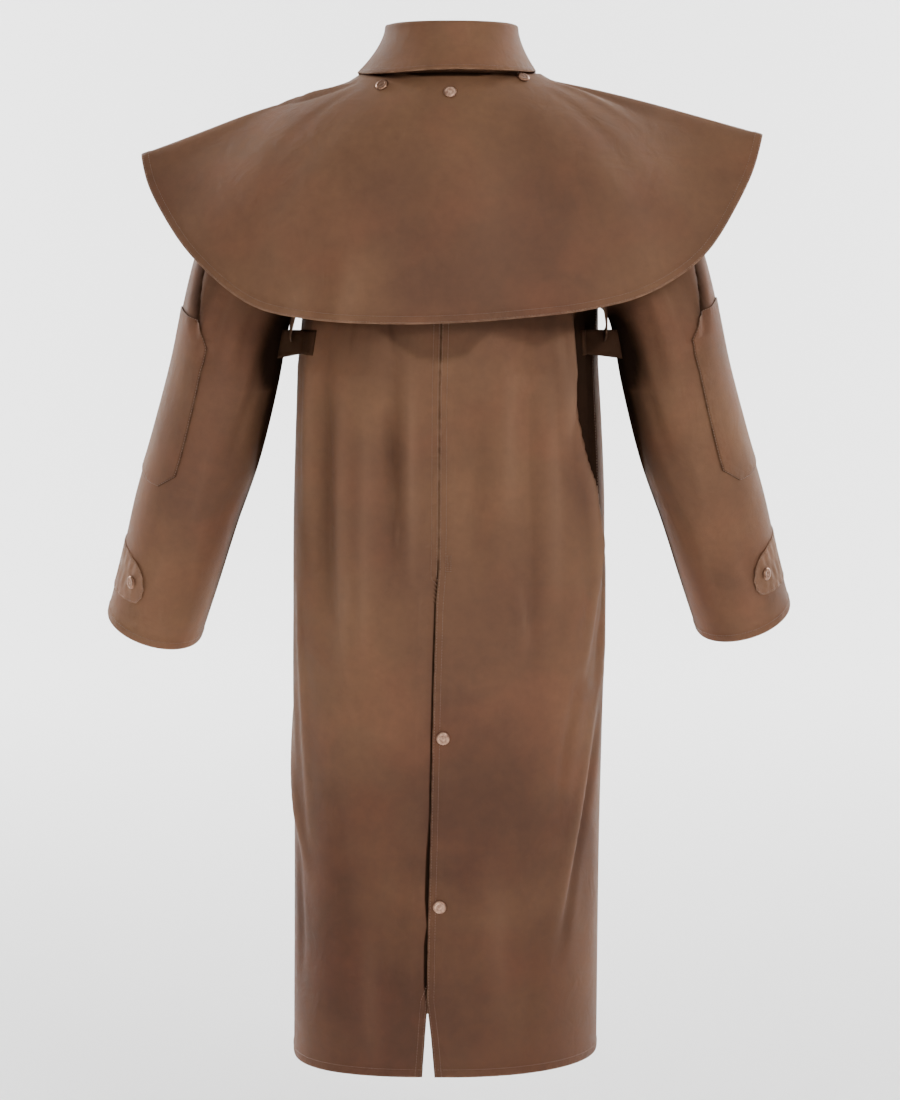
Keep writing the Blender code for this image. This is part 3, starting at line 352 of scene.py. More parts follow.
class Panel:
    """A front or back of the body: side is +1 on the wearer's right, over is True for the lap on top."""

    def __init__(self, side, is_front, over):
        self.side, self.is_front, self.over = side, is_front, over

    def low_point(self, u, z):
        """From the hem up to the chest. The centre edge's own place fades out across the panel."""
        if self.is_front:
            return body_point(self.side * (180 - 90 * u), z)
        edge = straight(BACK_EDGES, EDGE_COLUMNS, "over" if self.over else "under", z)
        past = np.degrees(np.arcsin(edge / BODY_DEPTH)) * self.side * (1 - u) ** 4
        return body_point(self.side * (90 * u + past), z)

    def top_edge(self, u):
        """Neckline from the centre edge to the shoulder, then the shoulder seam."""
        seam_turn = math.degrees(math.asin(NECK_SEAM_X / NECK_HALF_WIDTH)) * self.side
        start = 180.0 if self.is_front else seam_turn
        neck = neck_point(self.side * (start + (90 - start) * np.clip(u / NECK_SHARE, 0, 1)))
        along = np.clip((u - NECK_SHARE) / (1 - NECK_SHARE), 0, 1)[..., None]
        corner = neck_point(90.0 * self.side)
        seam = corner + (np.array(SHOULDER) * [self.side, 1, 1] - corner) * along
        seam[..., 2] += SHOULDER_RISE * np.sin(np.pi * along[..., 0])
        return np.where((u <= NECK_SHARE)[..., None], neck, seam)

    def centre_edge(self, v):
        bottom = self.low_point(np.zeros(1), np.full(1, CHEST_Z))[0]
        top = self.top_edge(np.zeros(1))[0]
        profile = FRONT_PROFILE if self.is_front else BACK_PROFILE
        across = [bottom[0] + (top[0] - bottom[0]) * share for share in (0.33, 0.66)]
        inner = [(x, *yz) for x, yz in zip(across, profile)]
        return bezier(bottom, inner[0], inner[1], top, v)

    def side_edge(self, v):
        """Side seam up to the armpit, then the armhole up to the shoulder."""
        bottom = self.low_point(np.ones(1), np.full(1, CHEST_Z))[0]
        pit = np.array(ARMPIT) * [self.side, 1, 1]
        seam = bottom + (pit - bottom) * np.clip(v / SEAM_SHARE, 0, 1)[..., None]
        t = np.clip((v - SEAM_SHARE) / (1 - SEAM_SHARE), 0, 1)
        hole = armhole(1 - t / 2 if self.is_front else t / 2, self.side)
        return np.where((v <= SEAM_SHARE)[..., None], seam, hole)

    def high_point(self, u, v):
        """Above the chest, filled in between the panel's four edges."""
        zero, one, chest = np.zeros(1), np.ones(1), np.full(1, CHEST_Z)
        low, top = self.low_point(u, np.full(u.shape, CHEST_Z)), self.top_edge(u)
        inner, outer = self.centre_edge(v), self.side_edge(v)
        low_in, low_out = self.low_point(zero, chest)[0], self.low_point(one, chest)[0]
        top_in, top_out = self.top_edge(zero)[0], self.top_edge(one)[0]
        u, v = u[..., None], v[..., None]
        between = low * (1 - v) + top * v + inner * (1 - u) + outer * u
        corners = (low_in * (1 - u) + low_out * u) * (1 - v) + (top_in * (1 - u) + top_out * u) * v
        return between - corners

    def half_point(self, u, h):
        z = HEM_Z + (CHEST_Z - HEM_Z) * np.clip(h, 0, 1)
        high = self.high_point(u, np.clip(h - 1, 0, 1))
        return np.where((h <= 1)[..., None], self.low_point(u, z), high)

    def lap(self, x, z):
        """How far the cloth stands out over the other front, or lies in under the other back."""
        if self.is_front:
            shows = LAP_DEPTH * ease((x + FRONT_LAP + LAP_REACH + LAP_EASE) / LAP_EASE)
            return shows if self.over else np.zeros(shows.shape)
        if self.over:
            return np.zeros(np.shape(x))
        cover = straight(BACK_EDGES, EDGE_COLUMNS, "over", z)
        below = ease((VENT_TOP_Z - z) / VENT_TURN)
        return -LAP_DEPTH * below * ease((x - cover + LAP_REACH + LAP_EASE) / LAP_EASE)

    def at(self, u, h):
        """The panel's outer surface: h runs from 0 at the hem to 1 at the chest and 2 at the top."""
        u, h = np.broadcast_arrays(np.asarray(u, float), np.asarray(h, float))
        if self.is_front:
            past_low = math.degrees(math.asin(FRONT_LAP / BODY_DEPTH)) / 90
            past_top = math.degrees(math.asin(FRONT_LAP / NECK_HALF_WIDTH)) / 90 * NECK_SHARE
            past = past_low + (past_top - past_low) * np.clip(h - 1, 0, 1)
            u = (1 + past) * u - past
            other = Panel(-self.side, True, self.over).half_point(np.maximum(-u, 0), h)
            p = np.where((u < 0)[..., None], other, self.half_point(np.maximum(u, 0), h))
        else:
            p = self.half_point(u, h)
        grown = 1 + self.lap(p[..., 0], p[..., 2]) / np.linalg.norm(p[..., :2], axis=-1)
        p[..., :2] *= grown[..., None]
        return p


# %% [markdown]
# A sleeve runs from the armhole to a ring below the armpit, and then through rings down to the
# cuff. The rings follow the arm's own axis, which leans outwards and a little forwards.

# %% The sleeves
RING_COLUMNS = ("ring", "x", "y", "z", "half_width", "half_depth")
SLEEVE_RINGS = [
    (1, 0.2690, 0.004, -0.315, 0.067, 0.080),
    (2, 0.2815, 0.014, -0.375, 0.068, 0.079),
    (3, 0.3045, 0.032, -0.460, 0.069, 0.077),
    (4, 0.3310, 0.052, -0.540, 0.067, 0.074),
    (5, 0.3540, 0.074, -0.620, 0.064, 0.071),
    (6, 0.3780, 0.099, -0.697, 0.062, 0.069),
]
SLEEVE_ENDS = {-1: 6.0, 1: 5.86}
AXIS_NUDGE = 0.02
CAP_DIP, CAP_DIP_SWING, CAP_OUT = 0.475, 0.125, 0.85
SLEEVE_FOLD_COLUMNS = ("turn", "drift", "top", "bottom", "spread", "depth")
SLEEVE_FOLDS = [
    (0.290, 0.02, 0.20, 1.70, 0.030, -0.0070),
    (0.225, 0.02, 0.30, 2.20, 0.030, 0.0035),
    (0.120, 0.03, 0.60, 2.90, 0.035, -0.0050),
    (0.190, 0.02, 2.20, 4.40, 0.040, -0.0030),
    (0.240, -0.05, 3.60, 5.60, 0.035, -0.0030),
    (0.700, 0.04, 0.50, 3.20, 0.040, -0.0050),
    (0.860, -0.04, 2.40, 4.60, 0.040, -0.0040),
]
SLEEVE_CREASES = [
    (0.470, -0.150, 0.50, 1.12, 0.020, -0.0070),
    (0.420, -0.130, 0.50, 1.30, 0.020, 0.0030),
    (0.335, 0.015, 0.25, 1.00, 0.012, -0.0030),
    (0.270, 0.020, 0.30, 1.30, 0.012, 0.0022),
    (0.205, 0.010, 0.40, 1.60, 0.014, -0.0022),
    (0.160, 0.020, 0.50, 2.30, 0.016, 0.0018),
    (0.090, 0.020, 0.70, 2.80, 0.014, -0.0024),
    (0.145, 0.030, 1.80, 3.30, 0.014, -0.0016),
    (0.240, -0.030, 2.60, 4.00, 0.016, 0.0014),
    (0.110, 0.040, 2.90, 4.70, 0.018, -0.0018),
    (0.200, -0.030, 4.10, 5.50, 0.016, -0.0014),
    (0.270, 0.010, 4.20, 5.40, 0.014, 0.0010),
    (0.620, 0.020, 0.40, 1.70, 0.014, -0.0022),
    (0.740, -0.020, 0.70, 2.30, 0.016, 0.0020),
    (0.800, 0.030, 1.90, 3.60, 0.016, -0.0022),
    (0.900, -0.030, 0.60, 2.60, 0.016, -0.0024),
    (0.760, 0.030, 3.40, 5.20, 0.018, 0.0016),
]


def sleeve_axis(ring):
    """Centre, half width, half depth and the three axes of a ring of the right sleeve."""
    places = [np.clip(ring + step, 1, 6) for step in (-AXIS_NUDGE, 0.0, AXIS_NUDGE)]
    behind, centre, ahead = (
        point(*(follow(SLEEVE_RINGS, RING_COLUMNS, n, place) for n in ("x", "y", "z"))) for place in places
    )
    along = unit(ahead - behind)
    outward = unit(np.cross(along, np.broadcast_to([0.0, 1.0, 0.0], along.shape)))
    forward = unit(np.cross(outward, along))
    width, depth = (follow(SLEEVE_RINGS, RING_COLUMNS, n, ring) for n in ("half_width", "half_depth"))
    return centre, width, depth, along, outward, forward


def sleeve_point(turn, ring, side):
    """Outer point of a sleeve: turn 0 towards the body, 0.25 at the back, 0.5 outside, 0.75 in front."""
    turn, ring = np.broadcast_arrays(np.asarray(turn, float), np.asarray(ring, float))
    centre, width, depth, along, outward, forward = sleeve_axis(np.clip(ring, 1, 6))
    phase = 2 * np.pi * turn
    relief = fold_relief(SLEEVE_FOLDS + SLEEVE_CREASES, SLEEVE_FOLD_COLUMNS, turn % 1.0, ring)
    spoke = -outward * np.cos(phase)[..., None] - forward * np.sin(phase)[..., None]
    sideways, ahead = (width * np.cos(phase))[..., None], (depth * np.sin(phase))[..., None]
    ringed = centre - outward * sideways - forward * ahead
    seam = armhole(turn % 1.0, 1)
    reach = np.linalg.norm(ringed - seam, axis=-1)[..., None]
    dip = CAP_DIP - CAP_DIP_SWING * np.cos(phase)
    leave = unit(point(CAP_OUT * np.ones(phase.shape), 0, -dip)) * reach
    cap = hermite(seam, ringed, leave, along * reach, np.clip(ring, 0, 1)[..., None])
    p = np.where((ring < 1)[..., None], cap, ringed) + spoke * (relief * ease(ring / 0.5))[..., None]
    return p * [side, 1, 1]


# %% [markdown]
# The collar rises from the neckline as a stand, turns over a small roll and falls outside. The
# cape hangs from the neckline over the shoulders, and reaches its widest beyond each arm. Both are
# read rib by rib: each rib is one line from the neck edge to the free edge.

# %% The collar and the cape
COLLAR_INSET = 0.0042
COLLAR_FOOT = 0.0006
FOLD_RADIUS = 0.0035
FOLD_START, FOLD_END = 0.45, 0.55
FALL_FLARE = 1.6
COLLAR_COLUMNS = ("turn", "fold_width", "fold_depth", "fold_z", "edge_width", "edge_depth", "edge_z")
COLLAR_RIBS = [
    (-172, 0.080, 0.074, -0.050, 0.135, 0.131, -0.108),
    (-155, 0.080, 0.074, -0.038, 0.121, 0.117, -0.082),
    (-140, 0.080, 0.074, -0.020, 0.113, 0.108, -0.059),
    (-125, 0.080, 0.074, 0.004, 0.110, 0.104, -0.037),
    (-110, 0.080, 0.074, 0.032, 0.110, 0.102, -0.0155),
    (-90, 0.0800, 0.075, 0.0570, 0.1135, 0.101, 0.0014),
    (-70, 0.0806, 0.0755, 0.0605, 0.1125, 0.101, 0.0008),
    (-45, 0.0815, 0.076, 0.0630, 0.1095, 0.101, 0.0024),
    (0, 0.0830, 0.076, 0.0645, 0.1095, 0.100, 0.0070),
    (45, 0.0850, 0.076, 0.0630, 0.1090, 0.101, 0.0048),
    (70, 0.0847, 0.0755, 0.0605, 0.1065, 0.101, 0.0032),
    (90, 0.0840, 0.075, 0.0560, 0.1055, 0.101, 0.0034),
    (110, 0.084, 0.074, 0.032, 0.108, 0.102, -0.0145),
    (125, 0.081, 0.074, 0.004, 0.110, 0.104, -0.037),
    (140, 0.080, 0.074, -0.020, 0.113, 0.108, -0.059),
    (155, 0.080, 0.074, -0.038, 0.121, 0.117, -0.082),
    (172, 0.080, 0.074, -0.050, 0.135, 0.131, -0.108),
]
CAPE_NECK_OUT = 0.0030
CAPE_NECK_UP = 0.0021
CAPE_FRONT_RISE = 0.0032
CAPE_FRONT_TURN, CAPE_FRONT_EASE = 120, 40
CAPE_REACH = 0.36
CAPE_ROLL_AT, CAPE_ROLL_WIDTH = 0.055, 0.035
CAPE_ROLL_COLUMNS = ("turn", "height")
CAPE_ROLL = [
    (0, 0.0),
    (30, 0.0005),
    (45, 0.0045),
    (60, 0.0060),
    (90, 0.0060),
    (110, 0.0040),
    (130, 0.0),
    (180, 0.0),
]
CAPE_COLUMNS = ("turn", "x", "y", "z", "start_dip", "end_dip")
CAPE_RIBS = [
    (-168, -0.070, 0.192, -0.330, 38, 88),
    (-152, -0.142, 0.186, -0.315, 34, 86),
    (-138, -0.214, 0.166, -0.289, 28, 82),
    (-122, -0.288, 0.120, -0.245, 21, 66),
    (-108, -0.344, 0.068, -0.176, 15, 42),
    (-98, -0.372, 0.030, -0.127, 13, 26),
    (-90, -0.3806, 0.002, -0.098, 11, 19),
    (-82, -0.3719, -0.026, -0.130, 13, 27),
    (-72, -0.3500, -0.058, -0.170, 15, 42),
    (-58, -0.3083, -0.102, -0.2226, 21, 62),
    (-43, -0.2400, -0.142, -0.2740, 29, 78),
    (-28, -0.1650, -0.163, -0.2905, 35, 84),
    (-14, -0.0850, -0.171, -0.2950, 38, 87),
    (0, 0.0000, -0.173, -0.2940, 40, 88),
    (14, 0.0850, -0.171, -0.2880, 38, 87),
    (28, 0.1650, -0.162, -0.2790, 34, 84),
    (43, 0.2400, -0.138, -0.2600, 27, 76),
    (58, 0.3071, -0.100, -0.2178, 18, 59),
    (72, 0.3500, -0.058, -0.1580, 11, 38),
    (82, 0.3734, -0.028, -0.1120, 9, 24),
    (90, 0.3853, 0.002, -0.0733, 9, 15),
    (98, 0.3760, 0.032, -0.1100, 10, 24),
    (108, 0.3480, 0.070, -0.1640, 13, 40),
    (122, 0.2900, 0.120, -0.2380, 20, 64),
    (138, 0.2140, 0.166, -0.2890, 28, 82),
    (152, 0.1420, 0.186, -0.3150, 34, 86),
    (168, 0.0700, 0.192, -0.3300, 38, 88),
]


def collar_point(turn, s):
    """Outer face of the collar: s 0 at the foot, FOLD_START to FOLD_END over the fold, 1 at the edge."""
    turn, s = np.broadcast_arrays(np.asarray(turn, float), np.asarray(s, float))
    fold_w, fold_d, fold_z, edge_w, edge_d, edge_z = (
        follow(COLLAR_RIBS, COLLAR_COLUMNS, n, turn) for n in COLLAR_COLUMNS[1:]
    )
    sin, cos = np.sin(np.radians(turn)), np.cos(np.radians(turn))
    foot = neck_point(turn) * [1 - COLLAR_INSET / NECK_HALF_WIDTH, 1 - COLLAR_INSET / NECK_BACK_DEPTH, 1]
    foot = foot - [0, 0, COLLAR_FOOT]
    across = 2 * FOLD_RADIUS
    stand_top = point((fold_w - across) * sin, -(fold_d - across) * cos, fold_z - FOLD_RADIUS)
    fall_top = point(fold_w * sin, -fold_d * cos, fold_z - FOLD_RADIUS)
    edge = point(edge_w * sin, -edge_d * cos, edge_z)
    up = np.clip(s / FOLD_START, 0, 1)[..., None]
    over = np.pi * np.clip((s - FOLD_START) / (FOLD_END - FOLD_START), 0, 1)
    down = np.clip((s - FOLD_END) / (1 - FOLD_END), 0, 1)
    stand = foot + (stand_top - foot) * up
    arc = (stand_top + fall_top) / 2 - (fall_top - stand_top) / 2 * np.cos(over)[..., None]
    arc[..., 2] += FOLD_RADIUS * np.sin(over)
    flared = down**FALL_FLARE
    fall = fall_top + (edge - fall_top) * np.stack([flared, flared, down], axis=-1)
    return np.where((s < FOLD_START)[..., None], stand, np.where((s > FOLD_END)[..., None], fall, arc))


def cape_point(turn, s):
    """Outer face of the cape: s 0 at its neck edge and 1 at its hem, along one rib."""
    turn, s = np.broadcast_arrays(np.asarray(turn, float), np.asarray(s, float))
    hem = point(*(follow(CAPE_RIBS, CAPE_COLUMNS, n, turn) for n in ("x", "y", "z")))
    start_dip = np.radians(follow(CAPE_RIBS, CAPE_COLUMNS, "start_dip", turn))
    end_dip = np.radians(follow(CAPE_RIBS, CAPE_COLUMNS, "end_dip", turn))
    sin, cos = np.sin(np.radians(turn)), np.cos(np.radians(turn))
    rise = CAPE_NECK_UP + CAPE_FRONT_RISE * ease((np.abs(turn) - CAPE_FRONT_TURN) / CAPE_FRONT_EASE)
    neck = neck_point(turn) + point(CAPE_NECK_OUT * sin, -CAPE_NECK_OUT * cos, rise)
    chord = hem - neck
    reach = np.linalg.norm(chord, axis=-1)[..., None] * CAPE_REACH
    heading = unit(chord * [1, 1, 0])
    start_heading = unit(heading + point(sin, -cos, 0))
    start = start_heading * np.cos(start_dip)[..., None] - point(0, 0, np.sin(start_dip))
    end = heading * np.cos(end_dip)[..., None] - point(0, 0, np.sin(end_dip))
    first, second = neck + start * reach, hem - end * reach
    t = s[..., None]
    rib = neck * (1 - t) ** 3 + 3 * first * t * (1 - t) ** 2 + 3 * second * t * t * (1 - t) + hem * t**3
    roll = follow(CAPE_ROLL, CAPE_ROLL_COLUMNS, "height", np.abs(turn)) * ease(s / CAPE_ROLL_AT)
    return rib + point(0, 0, roll * np.exp(-(((s - CAPE_ROLL_AT) / CAPE_ROLL_WIDTH) ** 2)))


# %% [markdown]
# A sheet of cloth starts as Blender's own flat grid. Each of its points is then moved to the place
# that the surface gives for its row and column. Rows and columns stand close together near the
# edges, where a hem is turned. The grid keeps three things for the material: a UV map in metres,
# so that the weave has its real size, the distance to the nearest sewn edge, and how much painted
# shade darkens the cloth, in folds, in gaps and in the shade under the arms and the cape. Below
# zero, that last one is a painted highlight, which makes the cloth paler on the ridges of folds.

# %% Turn a surface into a thin sheet
CLOTH = 0.0012
EDGE_STEPS = np.array([0.0, 0.0010, 0.0025, 0.0050, 0.0080, 0.0105, 0.0125, 0.0150])
HEM_WIDTH, HEM_RAISE, HEM_STEP = 0.0110, 0.0006, 0.0020
EDGE_ROLL, EDGE_ROLL_WIDTH = 0.0007, 0.0012
FAR = 1.0


def run_along(points, axis):
    """Distance walked over the grid from its first row or column."""
    steps = np.linalg.norm(np.diff(points, axis=axis), axis=-1)
    pad = [(1, 0), (0, 0)] if axis == 0 else [(0, 0), (1, 0)]
    return np.pad(np.cumsum(steps, axis=axis), pad)


def stations(curve, low, high, step):
    """Places along one line of a surface, even in metres and closer together near both ends."""
    fine = np.linspace(low, high, 400)
    run = run_along(curve(fine)[:, None], 0)[:, 0]
    inner = np.arange(EDGE_STEPS[-1] + step, run[-1] - EDGE_STEPS[-1] - step / 2, step)
    return np.interp(np.concatenate([EDGE_STEPS, inner, run[-1] - EDGE_STEPS[::-1]]), run, fine)


def normals_of(points, wrap=False):
    """Normals of a grid of points; wrap says that its last column lies on its first."""
    ring = np.concatenate([points[:, -2:-1], points, points[:, 1:2]], axis=1) if wrap else points
    across = np.gradient(ring, axis=1)
    across = across[:, 1:-1] if wrap else across
    return unit(np.cross(across, np.gradient(points, axis=0)))


class Cloth:
    """A grid of points on a piece of cloth, its normals, and how far each point is from each edge."""

    def __init__(self, points, towards, wrap=False):
        self.points, self.wrap = points, wrap
        normals = normals_of(points, wrap)
        self.normals = normals if np.sum(normals * towards) > 0 else -normals
        down, across = run_along(points, 0), run_along(points, 1)
        self.across, self.down = across, down
        self.from_edge = {"low": down, "high": down[-1] - down}
        self.from_edge |= {"first": across, "last": across[:, -1:] - across}
        # Painted shade for the material: above zero it darkens the cloth, below zero it is a painted
        # highlight.
        self.dark = np.zeros(down.shape)

    def distance(self, edges):
        return np.min([self.from_edge[e] for e in edges] + [np.full(self.down.shape, FAR)], axis=0)

    def hem(self, edges):
        """Raises the turned hem by one more layer, and rolls the very edge over."""
        edge = self.distance(edges)
        layer = HEM_RAISE * (1 - ease((edge - HEM_WIDTH) / HEM_STEP))
        lift = layer - EDGE_ROLL * np.exp(-((edge / EDGE_ROLL_WIDTH) ** 2))
        self.points = self.points + self.normals * lift[..., None]
        return self

    def line(self, edge, distance):
        """Points and normals of a line at one distance from an edge, measured on the cloth."""
        run = self.from_edge[edge]
        grids = (self.points, self.normals)
        if edge in ("first", "last"):
            run, grids = run.T, [grid.transpose(1, 0, 2) for grid in grids]
        if edge in ("high", "last"):
            run, grids = run[::-1], [grid[::-1] for grid in grids]
        found = [
            [[np.interp(distance, run[:, c], grid[:, c, k]) for k in range(3)] for c in range(run.shape[1])]
            for grid in grids
        ]
        return np.array(found[0]), unit(np.array(found[1]))

    def near(self, place):
        """The cloth's point and normal closest to a place."""
        k = np.argmin(np.linalg.norm(self.points.reshape(-1, 3) - place, axis=1))
        return self.points.reshape(-1, 3)[k], self.normals.reshape(-1, 3)[k]


def placed(name, bm):
    """Turns a finished bmesh into a smooth object at the origin."""
    mesh = bpy.data.meshes.new(name)
    bm.to_mesh(mesh)
    bm.free()
    mesh.shade_smooth()
    made = bpy.data.objects.new(name, mesh)
    bpy.context.scene.collection.objects.link(made)
    return made


def sheet_object(name, cloth, sewn, thickness):
    """A grid from Blender's operator, moved onto the cloth's points and given its thickness."""
    rows, columns = cloth.points.shape[:2]
    edge = cloth.distance(sewn)
    bm = bmesh.new()
    bmesh.ops.create_grid(bm, x_segments=columns - 1, y_segments=rows - 1, size=0.5)
    uv, kept = bm.loops.layers.uv.new("cloth"), bm.verts.layers.float.new("edge")
    # The dark attribute holds the painted shade, and below zero a painted highlight.
    painted_shade_layer = bm.verts.layers.float.new("dark")
    places = {}
    for vert in bm.verts:
        c, r = round((vert.co.x + 0.5) * (columns - 1)), round((vert.co.y + 0.5) * (rows - 1))
        places[vert] = (r, c)
        vert[kept] = edge[r, c]
        vert[painted_shade_layer] = np.clip(cloth.dark[r, c], -1, 1)
    for face in bm.faces:
        for loop in face.loops:
            r, c = places[loop.vert]
            loop[uv].uv = (cloth.across[r, c], cloth.down[r, c])
    for vert, (r, c) in places.items():
        vert.co = cloth.points[r, c]
    bm.normal_update()
    agree = sum(v.normal.dot(Vector(cloth.normals[rc])) for v, rc in places.items())
    if agree < 0:
        bmesh.ops.reverse_faces(bm, faces=bm.faces)
    if cloth.wrap:
        bmesh.ops.remove_doubles(bm, verts=bm.verts, dist=1e-5)
    made = placed(name, bm)
    wall = made.modifiers.new("cloth thickness", "SOLIDIFY")
    wall.thickness, wall.offset = thickness, -1.0
    return made


pieces, cloths = {}, {}
ALL_EDGES = ("low", "high", "first", "last")


def keep(name, node, cloth, sewn, thickness=CLOTH):
    """Makes a cut piece and puts it in place of its solid."""
    made = sheet_object(name, cloth, sewn, thickness)
    pieces[name], cloths[name] = made, cloth
    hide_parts(node)
    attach(made, "root")
    return cloth


# %% [markdown]
# The four body panels. A hem is turned at the bottom, along the vent and along both front edges.
# The other edges are seams, where two panels meet. Two tables say where shade is painted on a back:
# the gap under the vent's edge at each height, and the height of the cape's shadow at each place across.

# %% Make the backs and the fronts
STEP = 0.0050
VENT_STRIP, VENT_STEP = 0.24, 0.0045
GAP_COLUMNS = ("z", "width")
# Painted shadow in the gap under the vent's edge: its width at each height.
VENT_GAP_SHADE = [
    (-1.226, 0.0),
    (-1.130, 0.0012),
    (-1.110, 0.0044),
    (-1.060, 0.0050),
    (-1.035, 0.0022),
    (-1.000, 0.0052),
    (-0.950, 0.0050),
    (-0.900, 0.0024),
    (-0.700, 0.0024),
    (-0.590, 0.0014),
    (-0.570, 0.0),
]
GAP_SOFTNESS = 0.0015
SHADE_COLUMNS = ("x", "z")
CAPE_SHADE = [
    (-0.200, -0.304),
    (-0.090, -0.304),
    (-0.070, -0.318),
    (-0.040, -0.338),
    (-0.010, -0.342),
    (0.020, -0.334),
    (0.036, -0.316),
    (0.050, -0.309),
    (0.080, -0.318),
    (0.105, -0.326),
    (0.150, -0.308),
    (0.200, -0.304),
]
SHADE_DARK, SHADE_SOFTNESS = 0.34, 0.010
# Painted shade inside the deep fold beside the right armpit, nearly black.
DEEP_FOLD_SHADE = 0.95
# How strongly a crease's depth paints shade in its trough and a highlight on its ridge.
FOLD_SHADING = 36.0
PANEL_SEAM_SHADOW, PATCH_SEAM_SHADOW = (0.60, 0.0016), (0.62, 0.0022)


def fold_shade_and_highlight(relief):
    """Painted shade in a trough and a painted highlight on a ridge, which is a negative darkness."""
    return -FOLD_SHADING * relief


def painted_panel_shade(node, points):
    """Painted shade on a panel: in its creases, in the deep fold, in the cape's shadow and under the vent's
    edge.
    """
    x, y, z = points[..., 0], points[..., 1], points[..., 2]
    angle = np.degrees(np.arctan2(x, -y))
    # Painted shade in the troughs of the creases, and a painted highlight on their ridges.
    dark = fold_shade_and_highlight(fold_relief(BODY_CREASES, FOLD_COLUMNS, angle, z))
    # Painted shade inside the deep fold at the right side.
    if "right" in node:
        dark = dark + DEEP_FOLD_SHADE * sunk(angle, z)
    # Painted shadow that the cape casts on the back, below its hem.
    if "back" in node:
        above = z - straight(CAPE_SHADE, SHADE_COLUMNS, "z", x)
        dark = dark + SHADE_DARK * ease(above / SHADE_SOFTNESS + 0.5)
    # Painted shadow in the gap under the right back's edge.
    if node == "back_left":
        width = np.maximum(straight(VENT_GAP_SHADE, GAP_COLUMNS, "width", z), 1e-5)
        past = straight(BACK_EDGES, EDGE_COLUMNS, "over", z) - x
        dark = dark + ease((width - past) / GAP_SOFTNESS + 0.5) * (width > 0.001)
    return dark


def seam_shadow(cloth, edges, strength, width):
    """Painted shadow: the thin dark line along a seam or a sewn edge, where the join lies in shade."""
    return strength * (1 - ease(cloth.distance(edges) / width))


def panel_cloth(node, side, is_front, over, hemmed):
    panel = Panel(side, is_front, over)
    across = stations(lambda u: panel.at(u, 0.6), 0, 1, STEP)
    # The vent's edge falls in this strip of the left back, so its columns stand closer there.
    if node == "back_left":
        across = np.union1d(across, np.arange(0.0, VENT_STRIP, VENT_STEP))
    down = stations(lambda h: panel.at(0.5, h), 0, 2, STEP)
    points = panel.at(across[None, :], down[:, None])
    cloth = Cloth(points, points * [1, 1, 0]).hem(hemmed)
    seams = ("last", "high") if is_front else ("first", "last", "high")
    # The panel's painted shade, with a painted shadow along its seams.
    cloth.dark = painted_panel_shade(node, points) + seam_shadow(cloth, seams, *PANEL_SEAM_SHADOW)
    return cloth


PANELS = {
    "back_left": (-1, False, False, ("low",)),
    "back_right": (1, False, True, ("low",)),
    "front_left": (-1, True, True, ("low", "first")),
    "front_right": (1, True, False, ("low", "first")),
}
for node, (side, is_front, over, hemmed) in PANELS.items():
    cloth = panel_cloth(node, side, is_front, over, hemmed)
    keep("cloth_" + node, node, cloth, ("low", "first", "last", "high"))

# %% [markdown]
# A sleeve is one cut piece whose long edges meet in a seam under the arm. It starts as a flat grid
# too, whose first and last columns come to lie on each other and are then merged. Its painted shade
# is read like folds: wide patches high up on the side towards the body, a narrow one from there down
# the arm, and one in the crease at the sleeve's head. Its creases get painted shade in their troughs
# and a painted highlight on their ridges.

# %% Make the sleeves
# Painted shade on the sleeve, where it lies in the shadow of the body and the arm.
SLEEVE_SHADE = [
    (0.060, 0.00, 0.02, 1.90, 0.105, 1.40),
    (0.040, 0.00, 1.00, 3.20, 0.070, 1.15),
    (0.020, 0.00, 2.00, 6.40, 0.034, 0.90),
    (0.470, -0.15, 0.45, 1.12, 0.024, 0.95),
]
SLEEVE_STATIONS, SLEEVE_LINE = 73, 0.3
for word, side in (("left", -1), ("right", 1)):
    across = np.linspace(0, 1, SLEEVE_STATIONS)
    down = stations(lambda ring: sleeve_point(SLEEVE_LINE, ring, side), 0, SLEEVE_ENDS[side], STEP)
    points = sleeve_point(across[None, :], down[:, None], side)
    cloth = Cloth(points, points - points.mean(axis=1, keepdims=True), wrap=True).hem(("high",))
    turn, ring = across[None, :], down[:, None]
    laps = [fold_relief(SLEEVE_SHADE, SLEEVE_FOLD_COLUMNS, turn - lap, ring) for lap in (0, 1)]
    # Painted shade on the side towards the body and in the crease troughs, painted highlight on the ridges.
    cloth.dark = sum(laps) + fold_shade_and_highlight(fold_relief(SLEEVE_CREASES, SLEEVE_FOLD_COLUMNS, turn, ring))
    keep("cloth_sleeve_" + word, "sleeve_" + word, cloth, ("low", "high"))

# %% [markdown]
# The elbow patch is a long octagon, laid on the outside of the sleeve. It is made from the sleeve's
# own surface, moved out, between two edges that its table gives row by row.

# %% Lay the elbow patches on the sleeves
PATCH_COLUMNS = ("ring", "inner", "outer")
PATCH_ROWS = {
    -1: [
        (0.93, 0.365, 0.475),
        (0.94, 0.349, 0.490),
        (1.19, 0.312, 0.527),
        (3.32, 0.302, 0.537),
        (3.58, 0.345, 0.492),
        (3.62, 0.385, 0.455),
    ],
    1: [
        (0.89, 0.365, 0.475),
        (0.90, 0.350, 0.490),
        (1.02, 0.314, 0.525),
        (3.22, 0.302, 0.537),
        (3.48, 0.345, 0.492),
        (3.52, 0.385, 0.455),
    ],
}
PATCH_RAISE, PATCH_CLOTH = 0.0016, 0.0010
PATCH_MIDDLE, PATCH_STATIONS = 0.42, 23


def laid_on(sheet_points, towards, raise_by):
    """A piece of cloth that follows another surface at a small distance."""
    base = Cloth(sheet_points, towards)
    return Cloth(base.points + base.normals * np.asarray(raise_by)[..., None], towards)


